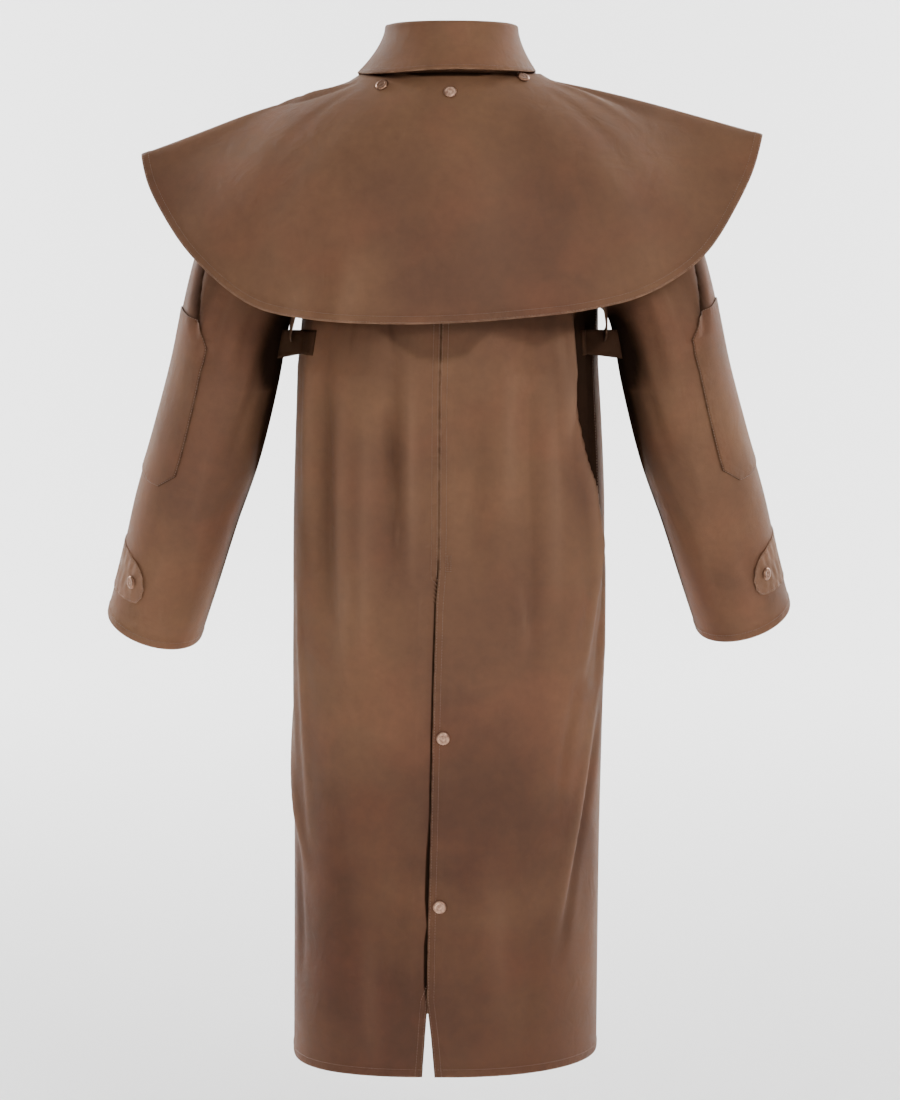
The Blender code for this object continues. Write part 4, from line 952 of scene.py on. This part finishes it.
for word, side in (("left", -1), ("right", 1)):
    corners = column(PATCH_ROWS[side], PATCH_COLUMNS, "ring")
    rows = stations(lambda ring: sleeve_point(PATCH_MIDDLE, ring, side), corners[0], corners[-1], STEP)
    rows = np.union1d(rows, corners)
    fine = np.linspace(corners[0], corners[-1], 600)
    walked = run_along(sleeve_point(PATCH_MIDDLE, fine, side)[:, None], 0)[:, 0]
    at, turns_at = np.interp(rows, fine, walked), np.interp(corners, fine, walked)
    edges = (column(PATCH_ROWS[side], PATCH_COLUMNS, n) for n in ("inner", "outer"))
    inner, outer = (np.interp(at, turns_at, edge)[:, None] for edge in edges)
    turn = inner + (outer - inner) * np.linspace(0, 1, PATCH_STATIONS)[None, :]
    points = sleeve_point(turn, rows[:, None], side)
    axis = (sleeve_point(0.0, rows[:, None], side) + sleeve_point(0.5, rows[:, None], side)) / 2
    cloth = laid_on(points, points - axis, np.full(turn.shape, PATCH_RAISE))
    # Painted shadow along the patch's sewn edges.
    cloth.dark = seam_shadow(cloth, ALL_EDGES, *PATCH_SEAM_SHADOW)
    name, below = "cloth_elbow_patch_" + word, ["cloth_sleeve_" + word]
    keep(name, "elbow_patch_" + word, cloth, ALL_EDGES, PATCH_CLOTH)

# %% [markdown]
# The cuff tab runs round the outside of the cuff and closes with one snap near its rounded tip.
# Its tip is not sewn down, so it stands off the sleeve a little and ripples.

# %% Wrap the cuff tabs round the sleeves
TAB_COLUMNS = ("turn", "low", "high", "lift")
TAB_ROWS = [
    (0.306, 0.060, 0.070, 0.0032),
    (0.318, 0.050, 0.084, 0.0028),
    (0.350, 0.0465, 0.096, 0.0020),
    (0.410, 0.043, 0.102, 0.0006),
    (0.500, 0.039, 0.104, 0.0006),
    (0.750, 0.036, 0.100, 0.0006),
]
TAB_RAISE, TAB_RIPPLES = 0.0006, 0.0007
RIPPLES_A_TURN, RIPPLES_END = 210, 0.47
TAB_LONG, TAB_WIDE, TAB_CROWDING = 90, 15, 1.35
RING_SPACING = 0.0815

for word, side in (("left", -1), ("right", 1)):
    first, last = TAB_ROWS[0][0], TAB_ROWS[-1][0]
    turns = first + (last - first) * np.linspace(0, 1, TAB_LONG) ** TAB_CROWDING
    low, high, lift = (straight(TAB_ROWS, TAB_COLUMNS, n, turns)[None, :] for n in ("low", "high", "lift"))
    share = np.linspace(0, 1, TAB_WIDE)[:, None]
    rings = SLEEVE_ENDS[side] - (low * (1 - share) + high * share) / RING_SPACING
    points = sleeve_point(turns[None, :], rings, side)
    middle = (sleeve_point(0.0, rings, side) + sleeve_point(0.5, rings, side)) / 2
    turn = turns[None, :]
    ripple = np.sin(turn * RIPPLES_A_TURN + share * 4) * np.sin(share * 7 + 2) * (turn < RIPPLES_END)
    cloth = laid_on(points, points - middle, lift + TAB_RAISE + TAB_RIPPLES * ripple)
    name = "cloth_cuff_tab_" + word
    keep(name, "cuff_tab_" + word, cloth, ALL_EDGES)

# %% [markdown]
# The collar is one sheet from the foot of its stand, over the roll, to the edge of its fall. It is
# thicker than the panels, because a collar is two layers of cloth.

# %% Make the collar
COLLAR_END, COLLAR_CLOTH = 172, 0.0018
STAND_ROWS, FOLD_ROWS, FALL_ROWS = 8, 9, 18
turns = stations(lambda a: collar_point(a, 1.0), -COLLAR_END, COLLAR_END, STEP)
stand = np.linspace(0, FOLD_START, STAND_ROWS)
fold = np.linspace(FOLD_START, FOLD_END, FOLD_ROWS)[1:]
shares = np.concatenate([stand, fold, np.linspace(FOLD_END, 1, FALL_ROWS)[1:]])
points = collar_point(turns[None, :], shares[:, None])
outside = points * [1, 1, 0] * np.where(shares < 0.5, -1, 1)[:, None, None]
cloth = Cloth(points, outside)
keep("cloth_collar", "collar", cloth, ("high", "first", "last"), COLLAR_CLOTH)

# %% [markdown]
# The cape is one wide sheet, open in front. Its cloth lies over the sleeve heads and stands out
# there, because oiled cotton is stiff. A few low creases radiate from the neck.

# %% Make the cape
CAPE_END = 168
CAPE_FOLD_COLUMNS = ("turn", "drift", "top", "bottom", "spread", "depth")
CAPE_CREASES = [
    (-92, 6, 0.03, 0.60, 3.0, -0.0034),
    (-72, -24, 0.06, 0.42, 3.0, 0.0032),
    (-66, -24, 0.06, 0.42, 2.6, -0.0030),
    (-60, 5, 0.10, 0.60, 4.0, -0.0016),
    (-38, -3, 0.30, 0.95, 5.0, 0.0020),
    (-33, 1, 0.86, 1.10, 2.2, 0.0026),
    (-27, 2, 0.70, 1.08, 3.0, -0.0034),
    (-20, -2, 0.74, 1.08, 2.4, 0.0026),
    (-8, 2, 0.20, 0.80, 5.0, -0.0014),
    (10, -2, 0.35, 0.98, 6.0, 0.0016),
    (26, 2, 0.15, 0.70, 5.0, -0.0016),
    (44, 3, 0.40, 1.05, 5.0, 0.0022),
    (58, -4, 0.10, 0.60, 4.0, -0.0018),
    (78, -6, 0.03, 0.55, 3.0, 0.0022),
    (86, -5, 0.02, 0.55, 3.0, -0.0028),
    (112, 5, 0.25, 0.95, 5.0, -0.0024),
    (134, -4, 0.30, 1.05, 6.0, 0.0024),
    (152, 3, 0.20, 0.90, 5.0, -0.0020),
    (-112, -5, 0.25, 0.95, 5.0, -0.0022),
    (-132, 4, 0.30, 1.05, 6.0, 0.0026),
    (-150, -3, 0.20, 0.90, 5.0, -0.0020),
]
# Under the middle of the collar's edge the cape lies in shade, which is painted on it as a crescent.
CRESCENT_TURN, CRESCENT_SHARE = 38, 0.023
CRESCENT_SHADE, CRESCENT_SOFTNESS = 0.95, 0.35
ROUND_STEP, DOWN_STEP = 0.0070, 0.0065
turns = stations(lambda a: cape_point(a, 0.8), -CAPE_END, CAPE_END, ROUND_STEP)
shares = stations(lambda s: cape_point(20.0, s), 0, 1, DOWN_STEP)
points = cape_point(turns[None, :], shares[:, None])
cloth = Cloth(points, np.array([0.0, 0.0, 1.0]))
relief = fold_relief(CAPE_CREASES, CAPE_FOLD_COLUMNS, turns[None, :], shares[:, None])
relief = relief * ease(shares * 5)[:, None]
points = points + cloth.normals * relief[..., None]
cloth = Cloth(points, np.array([0.0, 0.0, 1.0])).hem(("high", "first", "last"))
crescent = 1 - (turns[None, :] / CRESCENT_TURN) ** 2 - (shares[:, None] / CRESCENT_SHARE) ** 2
# Painted shade in the crescent and the crease troughs, and a painted highlight on the crease ridges.
cloth.dark = fold_shade_and_highlight(relief) + CRESCENT_SHADE * ease(crescent / CRESCENT_SOFTNESS)
keep("cloth_cape", "cape", cloth, ALL_EDGES)

# %% [markdown]
# Under each arm a short tab is sewn to the side of the back and holds the sleeve, and a narrow
# strap runs down to it from inside the cape. White background shows on both sides of the strap.
# Both lie in the shade under the arm, which is painted on them as an even darkness.

# %% Make the underarm tabs and the cape's straps
TAB_ON_BACK = (0.714, 0.857)
TAB_HEIGHTS = (0.61, 0.24)
TAB_SLEEVE_Z = (-0.3120, -0.3480)
TAB_SLEEVE_TURN = 0.065
STRAP_ON_CAPE = (32, 0.945)
STRAP_TAB_X = {-1: -0.1950, 1: 0.1900}
STRAP_TAB_Z = -0.3195
STRAP_CAPE_GAP = 0.0020
STRAP_BULGE = 0.0040
STRAP_SAG = 0.0100
STRAP_WIDTH, STRAP_CLOTH = 0.014, 0.002
STRAP_BEHIND_TAB = 0.0022
TAB_OUT = 0.0012
CAPE_WALL = 0.0015
# Painted shade under the arm, on the tabs and on the straps.
TAB_SHADE, STRAP_SHADE = 0.78, 0.75

for word, side in (("left", -1), ("right", 1)):
    panel = Panel(side, False, side > 0)
    heights = 1 + SEAM_SHARE * np.linspace(*TAB_HEIGHTS, 9)[:, None]
    flat = panel.at(np.linspace(*TAB_ON_BACK, 9)[None, :], heights)
    rings = np.linspace(0.3, 1.4, 60)
    along_sleeve = sleeve_point(TAB_SLEEVE_TURN, rings, side)
    meets = np.interp(-np.linspace(*TAB_SLEEVE_Z, 9), -along_sleeve[:, 2], rings)
    end = sleeve_point(TAB_SLEEVE_TURN, meets, side) + [0, -TAB_OUT, 0]
    bridge = [flat[:, -1] + (end - flat[:, -1]) * t for t in np.linspace(0, 1, 8)[1:]]
    points = np.concatenate([flat, np.stack(bridge, axis=1)], axis=1)
    cloth = laid_on(points, np.array([0.0, -1.0, 0.0]), np.full(points.shape[:2], TAB_OUT))
    cloth.dark = np.full(points.shape[:2], TAB_SHADE)
    name = "cloth_underarm_tab_" + word
    keep(name, "underarm_tab_" + word, cloth, ("low", "high"))

    turn, s = STRAP_ON_CAPE
    inside = cloths["cloth_cape"].near(cape_point(turn * side, s))
    start = inside[0] - inside[1] * (CAPE_WALL + STRAP_CAPE_GAP)
    middle = cloth.points.mean(axis=0)
    order = np.argsort(middle[:, 0])
    tab_y = np.interp(STRAP_TAB_X[side], middle[order, 0], middle[order, 1])
    end = np.array([STRAP_TAB_X[side], tab_y - STRAP_BEHIND_TAB, STRAP_TAB_Z])
    t = np.linspace(0, 1, 25)
    run = start + (end - start) * t[:, None]
    run += point(STRAP_BULGE * side * np.sin(np.pi * t), 0, -STRAP_SAG * np.sin(np.pi * t))
    across = np.linspace(0.5, -0.5, 7)[:, None, None] * [0, 0, STRAP_WIDTH]
    points = run[None] + across + [side * STRAP_CLOTH / 2, 0, 0]
    cloth = Cloth(points, np.array([float(side), 0.0, 0.0]))
    cloth.dark = np.full(points.shape[:2], STRAP_SHADE)
    name = "cloth_cape_strap_" + word
    keep(name, "cape_strap_" + word, cloth, ("low", "high"), STRAP_CLOTH)

# %% [markdown]
# Topstitching holds every seam and hem of a coat like this. A stitch could be painted, but raised
# thread catches the light at an edge. One stitch is a stretched ball of twenty faces, copied along
# each line at the pitch of a strong seam, about three to a centimetre.

# %% Sew the topstitching
STITCH_PITCH, STITCH_LENGTH, THREAD = 0.0036, 0.0027, 0.00062
HEM_ROW, CAPE_ROW, SECOND_ROW, COLLAR_ROW = 0.0100, 0.0095, 0.0088, 0.0055
EDGE_ROW, SEAM_ROW, PATCH_ROW = 0.0022, 0.0020, 0.0018
BARTACK_X, BARTACK_Z, BARTACK_OUT = (-0.0048, 0.0024), (-0.5770, -0.5958), 0.0012

seed = bmesh.new()
bmesh.ops.create_icosphere(seed, subdivisions=1, radius=0.5)
bmesh.ops.scale(seed, vec=(STITCH_LENGTH, THREAD, THREAD), verts=seed.verts)
seed_points = np.array([v.co for v in seed.verts])
seed_faces = np.array([[v.index for v in f.verts] for f in seed.faces])
seed.free()


def stitch_places(line, normals):
    """Middle, direction and normal of each stitch along a line."""
    run = run_along(line[:, None], 0)[:, 0]
    at = np.arange(STITCH_PITCH / 2, run[-1], STITCH_PITCH)

    def read(values, where):
        return np.stack([np.interp(where, run, values[:, k]) for k in range(3)], -1)

    middle, normal = read(line, at), unit(read(normals, at))
    along = unit(read(line, at + 0.001) - read(line, at - 0.001))
    return middle, along, normal


def sew(name, lines):
    """All the stitches of one piece, as one mesh."""
    found = [stitch_places(*line) for line in lines]
    middle, along, normal = (np.concatenate([f[k] for f in found]) for k in range(3))
    across = unit(np.cross(normal, along))
    basis = np.stack([along, across, normal], axis=1)
    points = np.einsum("vk,nkx->nvx", seed_points, basis) + (middle + normal * THREAD * 0.25)[:, None]
    faces = seed_faces[None] + np.arange(len(middle))[:, None, None] * len(seed_points)
    mesh = bpy.data.meshes.new(name)
    mesh.from_pydata(points.reshape(-1, 3).tolist(), [], faces.reshape(-1, 3).tolist())
    mesh.shade_smooth()
    made = bpy.data.objects.new(name, mesh)
    bpy.context.scene.collection.objects.link(made)
    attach(made, "root")
    pieces[name] = made
    print(name, len(middle), "stitches")


for node in PANELS:
    cloth = cloths["cloth_" + node]
    lines = [cloth.line("low", HEM_ROW), cloth.line("first", EDGE_ROW), cloth.line("first", SECOND_ROW)]
    lines += [cloth.line("last", SEAM_ROW)] if "back" in node else []
    sew("stitches_" + node, lines)
for word in ("left", "right"):
    sleeve, patch = cloths["cloth_sleeve_" + word], cloths["cloth_elbow_patch_" + word]
    tab = cloths["cloth_cuff_tab_" + word]
    sew("stitches_sleeve_" + word, [sleeve.line("high", HEM_ROW), sleeve.line("low", EDGE_ROW)])
    sew("stitches_patch_" + word, [patch.line(edge, PATCH_ROW) for edge in ALL_EDGES])
    sew("stitches_tab_" + word, [tab.line(edge, EDGE_ROW) for edge in ("low", "high", "first")])
# Short bars of stitches strengthen the top of the vent.
bars = []
for z in np.linspace(*BARTACK_Z, 9):
    x = np.linspace(*BARTACK_X, 8)
    outward = point(0 * x, -1 + 0 * x, 0 * x)
    bar = body_point(np.degrees(np.arcsin(x / BODY_DEPTH)), z)
    bars.append((bar + outward * BARTACK_OUT, outward))
sew("stitches_vent_top", bars)
cape, collar = cloths["cloth_cape"], cloths["cloth_collar"]
hems = [cape.line(edge, CAPE_ROW) for edge in ("high", "first", "last")]
sew("stitches_cape", [cape.line("high", EDGE_ROW), *hems])
sew("stitches_collar", [collar.line(edge, COLLAR_ROW) for edge in ("high", "first", "last")])

# %% [markdown]
# A snap's cap is pressed from thin sheet metal: a low dome with a rolled rim and a shallow ring
# round its middle. It is a shape of turning, so its profile is drawn once and spun.

# %% Spin the snap caps
SNAP_PROFILE = [
    (0.0, 0.00300), (0.0026, 0.00292), (0.0036, 0.00262), (0.0043, 0.00300), (0.0056, 0.00312),
    (0.0068, 0.00286), (0.0077, 0.00220), (0.0082, 0.00130), (0.0081, 0.00055), (0.0075, 0.00010),
]
SNAP_SEAT = 0.0003


def snap_cap(name, seat, normal):
    bm = bmesh.new()
    ring = [bm.verts.new((r, 0, z)) for r, z in SNAP_PROFILE]
    edges = [bm.edges.new(pair) for pair in zip(ring, ring[1:])]
    around = {"cent": (0, 0, 0), "axis": (0, 0, 1), "dvec": (0, 0, 0), "angle": 2 * math.pi}
    bmesh.ops.spin(bm, geom=ring + edges, steps=36, use_merge=True, use_duplicate=False, **around)
    bmesh.ops.remove_doubles(bm, verts=bm.verts, dist=1e-6)
    rim = [e for e in bm.edges if e.is_boundary]
    bmesh.ops.edgeloop_fill(bm, edges=rim)
    bmesh.ops.recalc_face_normals(bm, faces=bm.faces)
    turn = Vector(normal).to_track_quat("Z", "Y").to_matrix().to_4x4()
    move = Matrix.Translation(Vector(seat + normal * SNAP_SEAT))
    bmesh.ops.transform(bm, matrix=move @ turn, verts=bm.verts)
    return placed(name, bm)


def carrier(node):
    """The cloth that carries a snap."""
    if node.startswith("cape"):
        return cloths["cloth_cape"]
    if node.startswith("vent"):
        return cloths["cloth_back_right"]
    if node.startswith("front"):
        return cloths["cloth_front_left"]
    return cloths["cloth_cuff_tab_" + node.split("_")[-1]]


snaps = []
for node in sorted(name for name in frame["nodes"] if "snap" in name):
    low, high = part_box(node)
    seat, normal = carrier(node).near(np.array((low + high) / 2))
    cap = snap_cap("cap_" + node, seat, normal)
    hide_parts(node)
    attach(cap, "root")
    snaps.append(cap)
print("snap caps:", len(snaps))

# %% [markdown]
# Colours are picked from the photograph as sRGB values and turned to linear light, which is what
# the shader mixes. One helper adds a node: names that start with a small letter are its
# properties, the others are its sockets.

# %% Helpers for the materials
def colour(code):
    """An sRGB hex colour as linear red, green, blue and alpha."""
    parts = [int(code[k : k + 2], 16) / 255 for k in (1, 3, 5)]
    return (*(c / 12.92 if c <= 0.04045 else ((c + 0.055) / 1.055) ** 2.4 for c in parts), 1.0)


def add(tree, kind, values=(), links=()):
    """Adds one node with its settings, and links other nodes' outputs to its sockets."""
    node = tree.nodes.new(kind)
    for key, value in dict(values).items():
        if isinstance(key, int) or key[0].isupper():
            node.inputs[key].default_value = value
        else:
            setattr(node, key, value)
    for key, source in dict(links).items():
        tree.links.new(source, node.inputs[key])
    return node


def blend(tree, mode, factor, a, b):
    """Mixes two colours; each of the three may be a value or another node's output."""
    node = add(tree, "ShaderNodeMix", {"data_type": "RGBA", "blend_type": mode})
    for key, source in ((0, factor), (6, a), (7, b)):
        if isinstance(source, bpy.types.NodeSocket):
            tree.links.new(source, node.inputs[key])
        else:
            node.inputs[key].default_value = source
    return node.outputs[2]


def noise(tree, place, scale, detail, roughness=0.5, distortion=0.0):
    """Cloudy noise over a place: the scale is how many blotches go to a metre."""
    values = {"Scale": scale, "Detail": detail, "Roughness": roughness, "Distortion": distortion}
    return add(tree, "ShaderNodeTexNoise", values, {"Vector": place}).outputs[0]


def maths(tree, operation, *sources):
    """One arithmetic step on values or other nodes' outputs."""
    node = add(tree, "ShaderNodeMath", {"operation": operation})
    for key, source in enumerate(sources):
        if isinstance(source, bpy.types.NodeSocket):
            tree.links.new(source, node.inputs[key])
        else:
            node.inputs[key].default_value = source
    return node.outputs[0]


def ramp(tree, source, low, high, start=0.0, end=1.0):
    """A value between low and high, turned to one between start and end."""
    values = {"From Min": low, "From Max": high, "To Min": start, "To Max": end}
    return add(tree, "ShaderNodeMapRange", values, {"Value": source}).outputs[0]


# %% [markdown]
# Oiled cotton is a tight plain weave of strong yarn, soaked in oil and wax. It is nearly matt, with
# a faint bloom at glancing angles, and it is never one even brown: the dressing gathers in clouds
# and rubs off to a lighter brown on edges. Shade is painted into its colour as well: it gets darker
# and greyer towards the hem, and each piece's painted shade darkens its folds while a painted
# highlight paler its ridges. Where the painted shade is darkest the cloth loses its shine too, as a
# deep fold sends back no light. The real yarns are about half a millimetre apart, which a whole-coat
# view can't show, so the weave here is drawn at just over a millimetre.

# %% Oiled cotton canvas
YARN = 0.0012
# Painted shade: heights over which the cloth grows darker and greyer towards the hem.
LOW_SHADE_TOP, LOW_SHADE_FULL, LOW_SHADE_WANDER = -0.60, -0.86, 0.35
WAVE_PER_METRE = 2 * math.pi / 20


def oiled_cotton(name, brown, dark, red, worn_and_highlight):
    made = bpy.data.materials.new(name)
    made.use_nodes = True
    tree = made.node_tree
    shader = tree.nodes["Principled BSDF"]
    place = add(tree, "ShaderNodeTexCoord").outputs["Object"]
    uv = add(tree, "ShaderNodeUVMap", {"uv_map": "cloth"}).outputs["UV"]
    edge = add(tree, "ShaderNodeAttribute", {"attribute_name": "edge"}).outputs["Fac"]
    painted_light_and_shade = add(tree, "ShaderNodeAttribute", {"attribute_name": "dark"}).outputs["Fac"]

    clouds, drift = noise(tree, place, 4.2, 3.0), noise(tree, place, 11.0, 2.0, distortion=0.6)
    mottle = noise(tree, place, 85.0, 5.0, 0.6)
    tone = blend(tree, "MIX", ramp(tree, clouds, 0.36, 0.64), dark, brown)
    tone = blend(tree, "MIX", ramp(tree, drift, 0.44, 0.68, 0.0, 0.35), tone, red)
    tone = blend(tree, "MULTIPLY", 1.0, tone, ramp(tree, mottle, 0.3, 0.7, 0.92, 1.07))
    # Painted shade: the cloth gets darker and greyer towards the hem, where less light reaches it.
    height = add(tree, "ShaderNodeSeparateXYZ", {}, {"Vector": place}).outputs["Z"]
    low_shade = ramp(tree, maths(tree, "MULTIPLY_ADD", clouds, LOW_SHADE_WANDER, height), LOW_SHADE_TOP, LOW_SHADE_FULL)
    tone = blend(tree, "MULTIPLY", low_shade, tone, colour("#d3cccd"))
    rub = ramp(tree, mottle, 0.38, 0.62)
    rubbed = maths(tree, "MULTIPLY", ramp(tree, edge, 0.0, 0.0022, 1.0, 0.0), rub)
    tone = blend(tree, "MIX", ramp(tree, rubbed, 0.0, 1.0, 0.0, 0.45), tone, worn_and_highlight)
    # Painted highlight where the attribute is below zero, painted shade towards near black where it is
    # above.
    tone = blend(tree, "MIX", ramp(tree, painted_light_and_shade, 0.0, -1.0, 0.0, 0.9), tone, worn_and_highlight)
    tone = blend(tree, "MIX", ramp(tree, painted_light_and_shade, 0.0, 1.0, 0.0, 0.93), tone, colour("#150f0b"))

    scale = WAVE_PER_METRE / YARN
    warp = add(tree, "ShaderNodeTexWave", {"bands_direction": "X", "Scale": scale}, {"Vector": uv})
    weft = add(tree, "ShaderNodeTexWave", {"bands_direction": "Y", "Scale": scale}, {"Vector": uv})
    weave = maths(tree, "MULTIPLY", warp.outputs["Fac"], weft.outputs["Fac"])
    tone = blend(tree, "MULTIPLY", 1.0, tone, ramp(tree, weave, 0.0, 1.0, 0.95, 1.03))
    tree.links.new(tone, shader.inputs["Base Color"])

    crumple, pucker = noise(tree, place, 26.0, 3.0, distortion=0.8), noise(tree, place, 130.0, 1.0)
    drawn = maths(tree, "MULTIPLY", pucker, ramp(tree, edge, 0.002, 0.018, 1.0, 0.0))
    bump = add(tree, "ShaderNodeBump", {"Strength": 0.35, "Distance": 0.0003}, {"Height": weave})
    for height, strength, distance in ((crumple, 0.5, 0.0030), (drawn, 0.8, 0.0022)):
        values = {"Strength": strength, "Distance": distance}
        bump = add(tree, "ShaderNodeBump", values, {"Height": height, "Normal": bump.outputs[0]})
    tree.links.new(bump.outputs[0], shader.inputs["Normal"])
    tree.links.new(ramp(tree, mottle, 0.3, 0.7, 0.60, 0.76), shader.inputs["Roughness"])
    # Where shade is painted, the shine is taken away too.
    tree.links.new(ramp(tree, painted_light_and_shade, 0.0, 0.8, 0.16, 0.0), shader.inputs["Specular IOR Level"])
    tree.links.new(ramp(tree, painted_light_and_shade, 0.0, 0.8, 0.03, 0.0), shader.inputs["Sheen Weight"])
    shader.inputs["Sheen Roughness"].default_value = 0.45
    shader.inputs["Sheen Tint"].default_value = colour("#c9a58a")
    made.diffuse_color = brown
    return made


# The fourth colour serves both the rubbed edges and the painted highlight on ridges.
BROWNS = map(colour, ("#7b5941", "#654736", "#7f523d", "#a8846a"))
TAB_BROWNS = map(colour, ("#89664f", "#74543f", "#885f4b", "#b8947a"))
canvas = oiled_cotton("oiled cotton canvas", *BROWNS)
tabs = oiled_cotton("oiled cotton canvas, rubbed", *TAB_BROWNS)
for name, piece in pieces.items():
    if name.startswith("cloth"):
        piece.data.materials.append(tabs if "cuff_tab" in name else canvas)

# %% [markdown]
# The thread is spun polyester in the cloth's own brown. It is a little shinier than the cotton and
# sinks into it, so a row of it reads as a thin dark line with small bright points.

# %% Topstitching thread
thread = bpy.data.materials.new("spun polyester thread")
thread.use_nodes = True
tree = thread.node_tree
shader = tree.nodes["Principled BSDF"]
place = add(tree, "ShaderNodeTexCoord").outputs["Object"]
fibres = noise(tree, place, 900.0, 2.0)
shade = blend(tree, "MIX", ramp(tree, fibres, 0.35, 0.65), colour("#5a3e2e"), colour("#84614a"))
tree.links.new(shade, shader.inputs["Base Color"])
shader.inputs["Roughness"].default_value = 0.48
shader.inputs["Sheen Weight"].default_value = 0.2
for name, piece in pieces.items():
    if name.startswith("stitches"):
        piece.data.materials.append(thread)

# %% [markdown]
# The snap caps are pressed brass with an antique copper plating: a pinkish metal, darker where the
# finish was left in the hollows, brighter where it was buffed on the dome. The caps on the cuffs
# and at the cape's sides get a darker pair of colours.

# %% Antique copper plating
def plated(name, buffed, left):
    made = bpy.data.materials.new(name)
    made.use_nodes = True
    tree = made.node_tree
    shader = tree.nodes["Principled BSDF"]
    place = add(tree, "ShaderNodeTexCoord").outputs["Object"]
    tarnish = noise(tree, place, 260.0, 4.0, 0.6)
    hollow = add(tree, "ShaderNodeNewGeometry").outputs["Pointiness"]
    metal = blend(tree, "MIX", ramp(tree, tarnish, 0.4, 0.68), buffed, left)
    metal = blend(tree, "MIX", ramp(tree, hollow, 0.44, 0.5, 0.75, 0.0), metal, colour("#4a3226"))
    tree.links.new(metal, shader.inputs["Base Color"])
    tree.links.new(ramp(tree, tarnish, 0.35, 0.7, 0.26, 0.46), shader.inputs["Roughness"])
    scratch = add(tree, "ShaderNodeBump", {"Strength": 0.25, "Distance": 0.0002}, {"Height": tarnish})
    tree.links.new(scratch.outputs[0], shader.inputs["Normal"])
    shader.inputs["Metallic"].default_value = 1.0
    return made


copper = plated("antique copper plating", colour("#cfa78e"), colour("#9a7462"))
darker_copper = plated("antique copper plating, dull", colour("#a07b64"), colour("#70503f"))
for cap in snaps:
    darker_caps = "cuff" in cap.name or cap.name in ("cap_cape_snap_left", "cap_cape_snap_right")
    cap.data.materials.append(darker_copper if darker_caps else copper)

# %% [markdown]
# The photograph shows the coat cut out on white. Here a pale floor lies below it, where the
# wearer would stand, and curves up far behind into a wall, so that the camera sees no horizon.

# %% Floor and backdrop
FLOOR_Z = -1.45
FLOOR_START, FLOOR_LENGTH, HALF_WIDTH, CURVE_RADIUS, WALL_RISE = -12, 16, 16, 3, 40
FLAT_SHARE, CURVE_SHARE = 0.55, 0.25
bm = bmesh.new()
bmesh.ops.create_grid(bm, x_segments=1, y_segments=60, size=1.0)
for vert in bm.verts:
    run = (vert.co.y + 1) / 2
    bend = np.clip((run - FLAT_SHARE) / CURVE_SHARE, 0, 1) * math.pi / 2
    flat, climb = min(run, FLAT_SHARE), max(run - FLAT_SHARE - CURVE_SHARE, 0)
    y = FLOOR_START + flat / FLAT_SHARE * FLOOR_LENGTH + CURVE_RADIUS * math.sin(bend)
    z = FLOOR_Z + CURVE_RADIUS * (1 - math.cos(bend)) + climb * WALL_RISE
    vert.co = (vert.co.x * HALF_WIDTH, y, z)
floor = placed("floor", bm)
paper = bpy.data.materials.new("white studio paper")
paper.use_nodes = True
paper.node_tree.nodes["Principled BSDF"].inputs["Base Color"].default_value = colour("#ffffff")
paper.node_tree.nodes["Principled BSDF"].inputs["Roughness"].default_value = 0.9
floor.data.materials.append(paper)

# %% [markdown]
# Clothes are photographed in soft light. The key stands high on the right of the coat, so that
# folds show, and a wider fill stands on its left. Two strong lamps at the sides are turned to the
# paper, to keep it pale; they also reach the coat's front. The world adds a little white.

# %% Lights
world = bpy.data.worlds.new("studio")
world.use_nodes = True
world.node_tree.nodes["Background"].inputs["Color"].default_value = (1, 1, 1, 1)
world.node_tree.nodes["Background"].inputs["Strength"].default_value = 0.36
bpy.context.scene.world = world
LIGHTS = {
    "key": ((2.1, -3.8, 1.7), 1.1, 92),
    "fill": ((-1.7, -4.2, 0.6), 2.0, 26),
    "top": ((0.0, -0.6, 2.4), 2.0, 10),
    "paper left": ((-6.0, 4.0, 3.0), 3.0, 1100),
    "paper right": ((6.0, 4.0, 3.0), 3.0, 1100),
}
COAT_MIDDLE, PAPER_MIDDLE = Vector((0, 0, -0.55)), Vector((0, 8.0, 0.5))
for name, (place, size, power) in LIGHTS.items():
    light = bpy.data.lights.new(name, "AREA")
    light.shape, light.size, light.energy = "SQUARE", size, power
    lamp = bpy.data.objects.new(name, light)
    lamp.location = place
    target = PAPER_MIDDLE if "paper" in name else COAT_MIDDLE
    lamp.rotation_euler = (target - Vector(place)).to_track_quat("-Z", "Y").to_euler()
    bpy.context.scene.collection.objects.link(lamp)

# %% [markdown]
# The camera stands four and a half metres behind the coat, level with the wearer's nape, and looks
# a little down. Its lens is long, so that the sleeves and the cape keep their proportions.

# %% Camera
FRAME_PIXELS, FOCAL_PIXELS, SENSOR = 1100, 3633, 36.0
camera = bpy.data.cameras.new("camera")
camera.sensor_fit = "VERTICAL"
camera.sensor_height = SENSOR
camera.lens = FOCAL_PIXELS / FRAME_PIXELS * SENSOR
stand = bpy.data.objects.new("camera", camera)
stand.location = (0, -4.5, 0.02)
stand.rotation_euler = (math.radians(90 - 7.72), 0, 0)
bpy.context.scene.collection.objects.link(stand)
bpy.context.scene.camera = stand
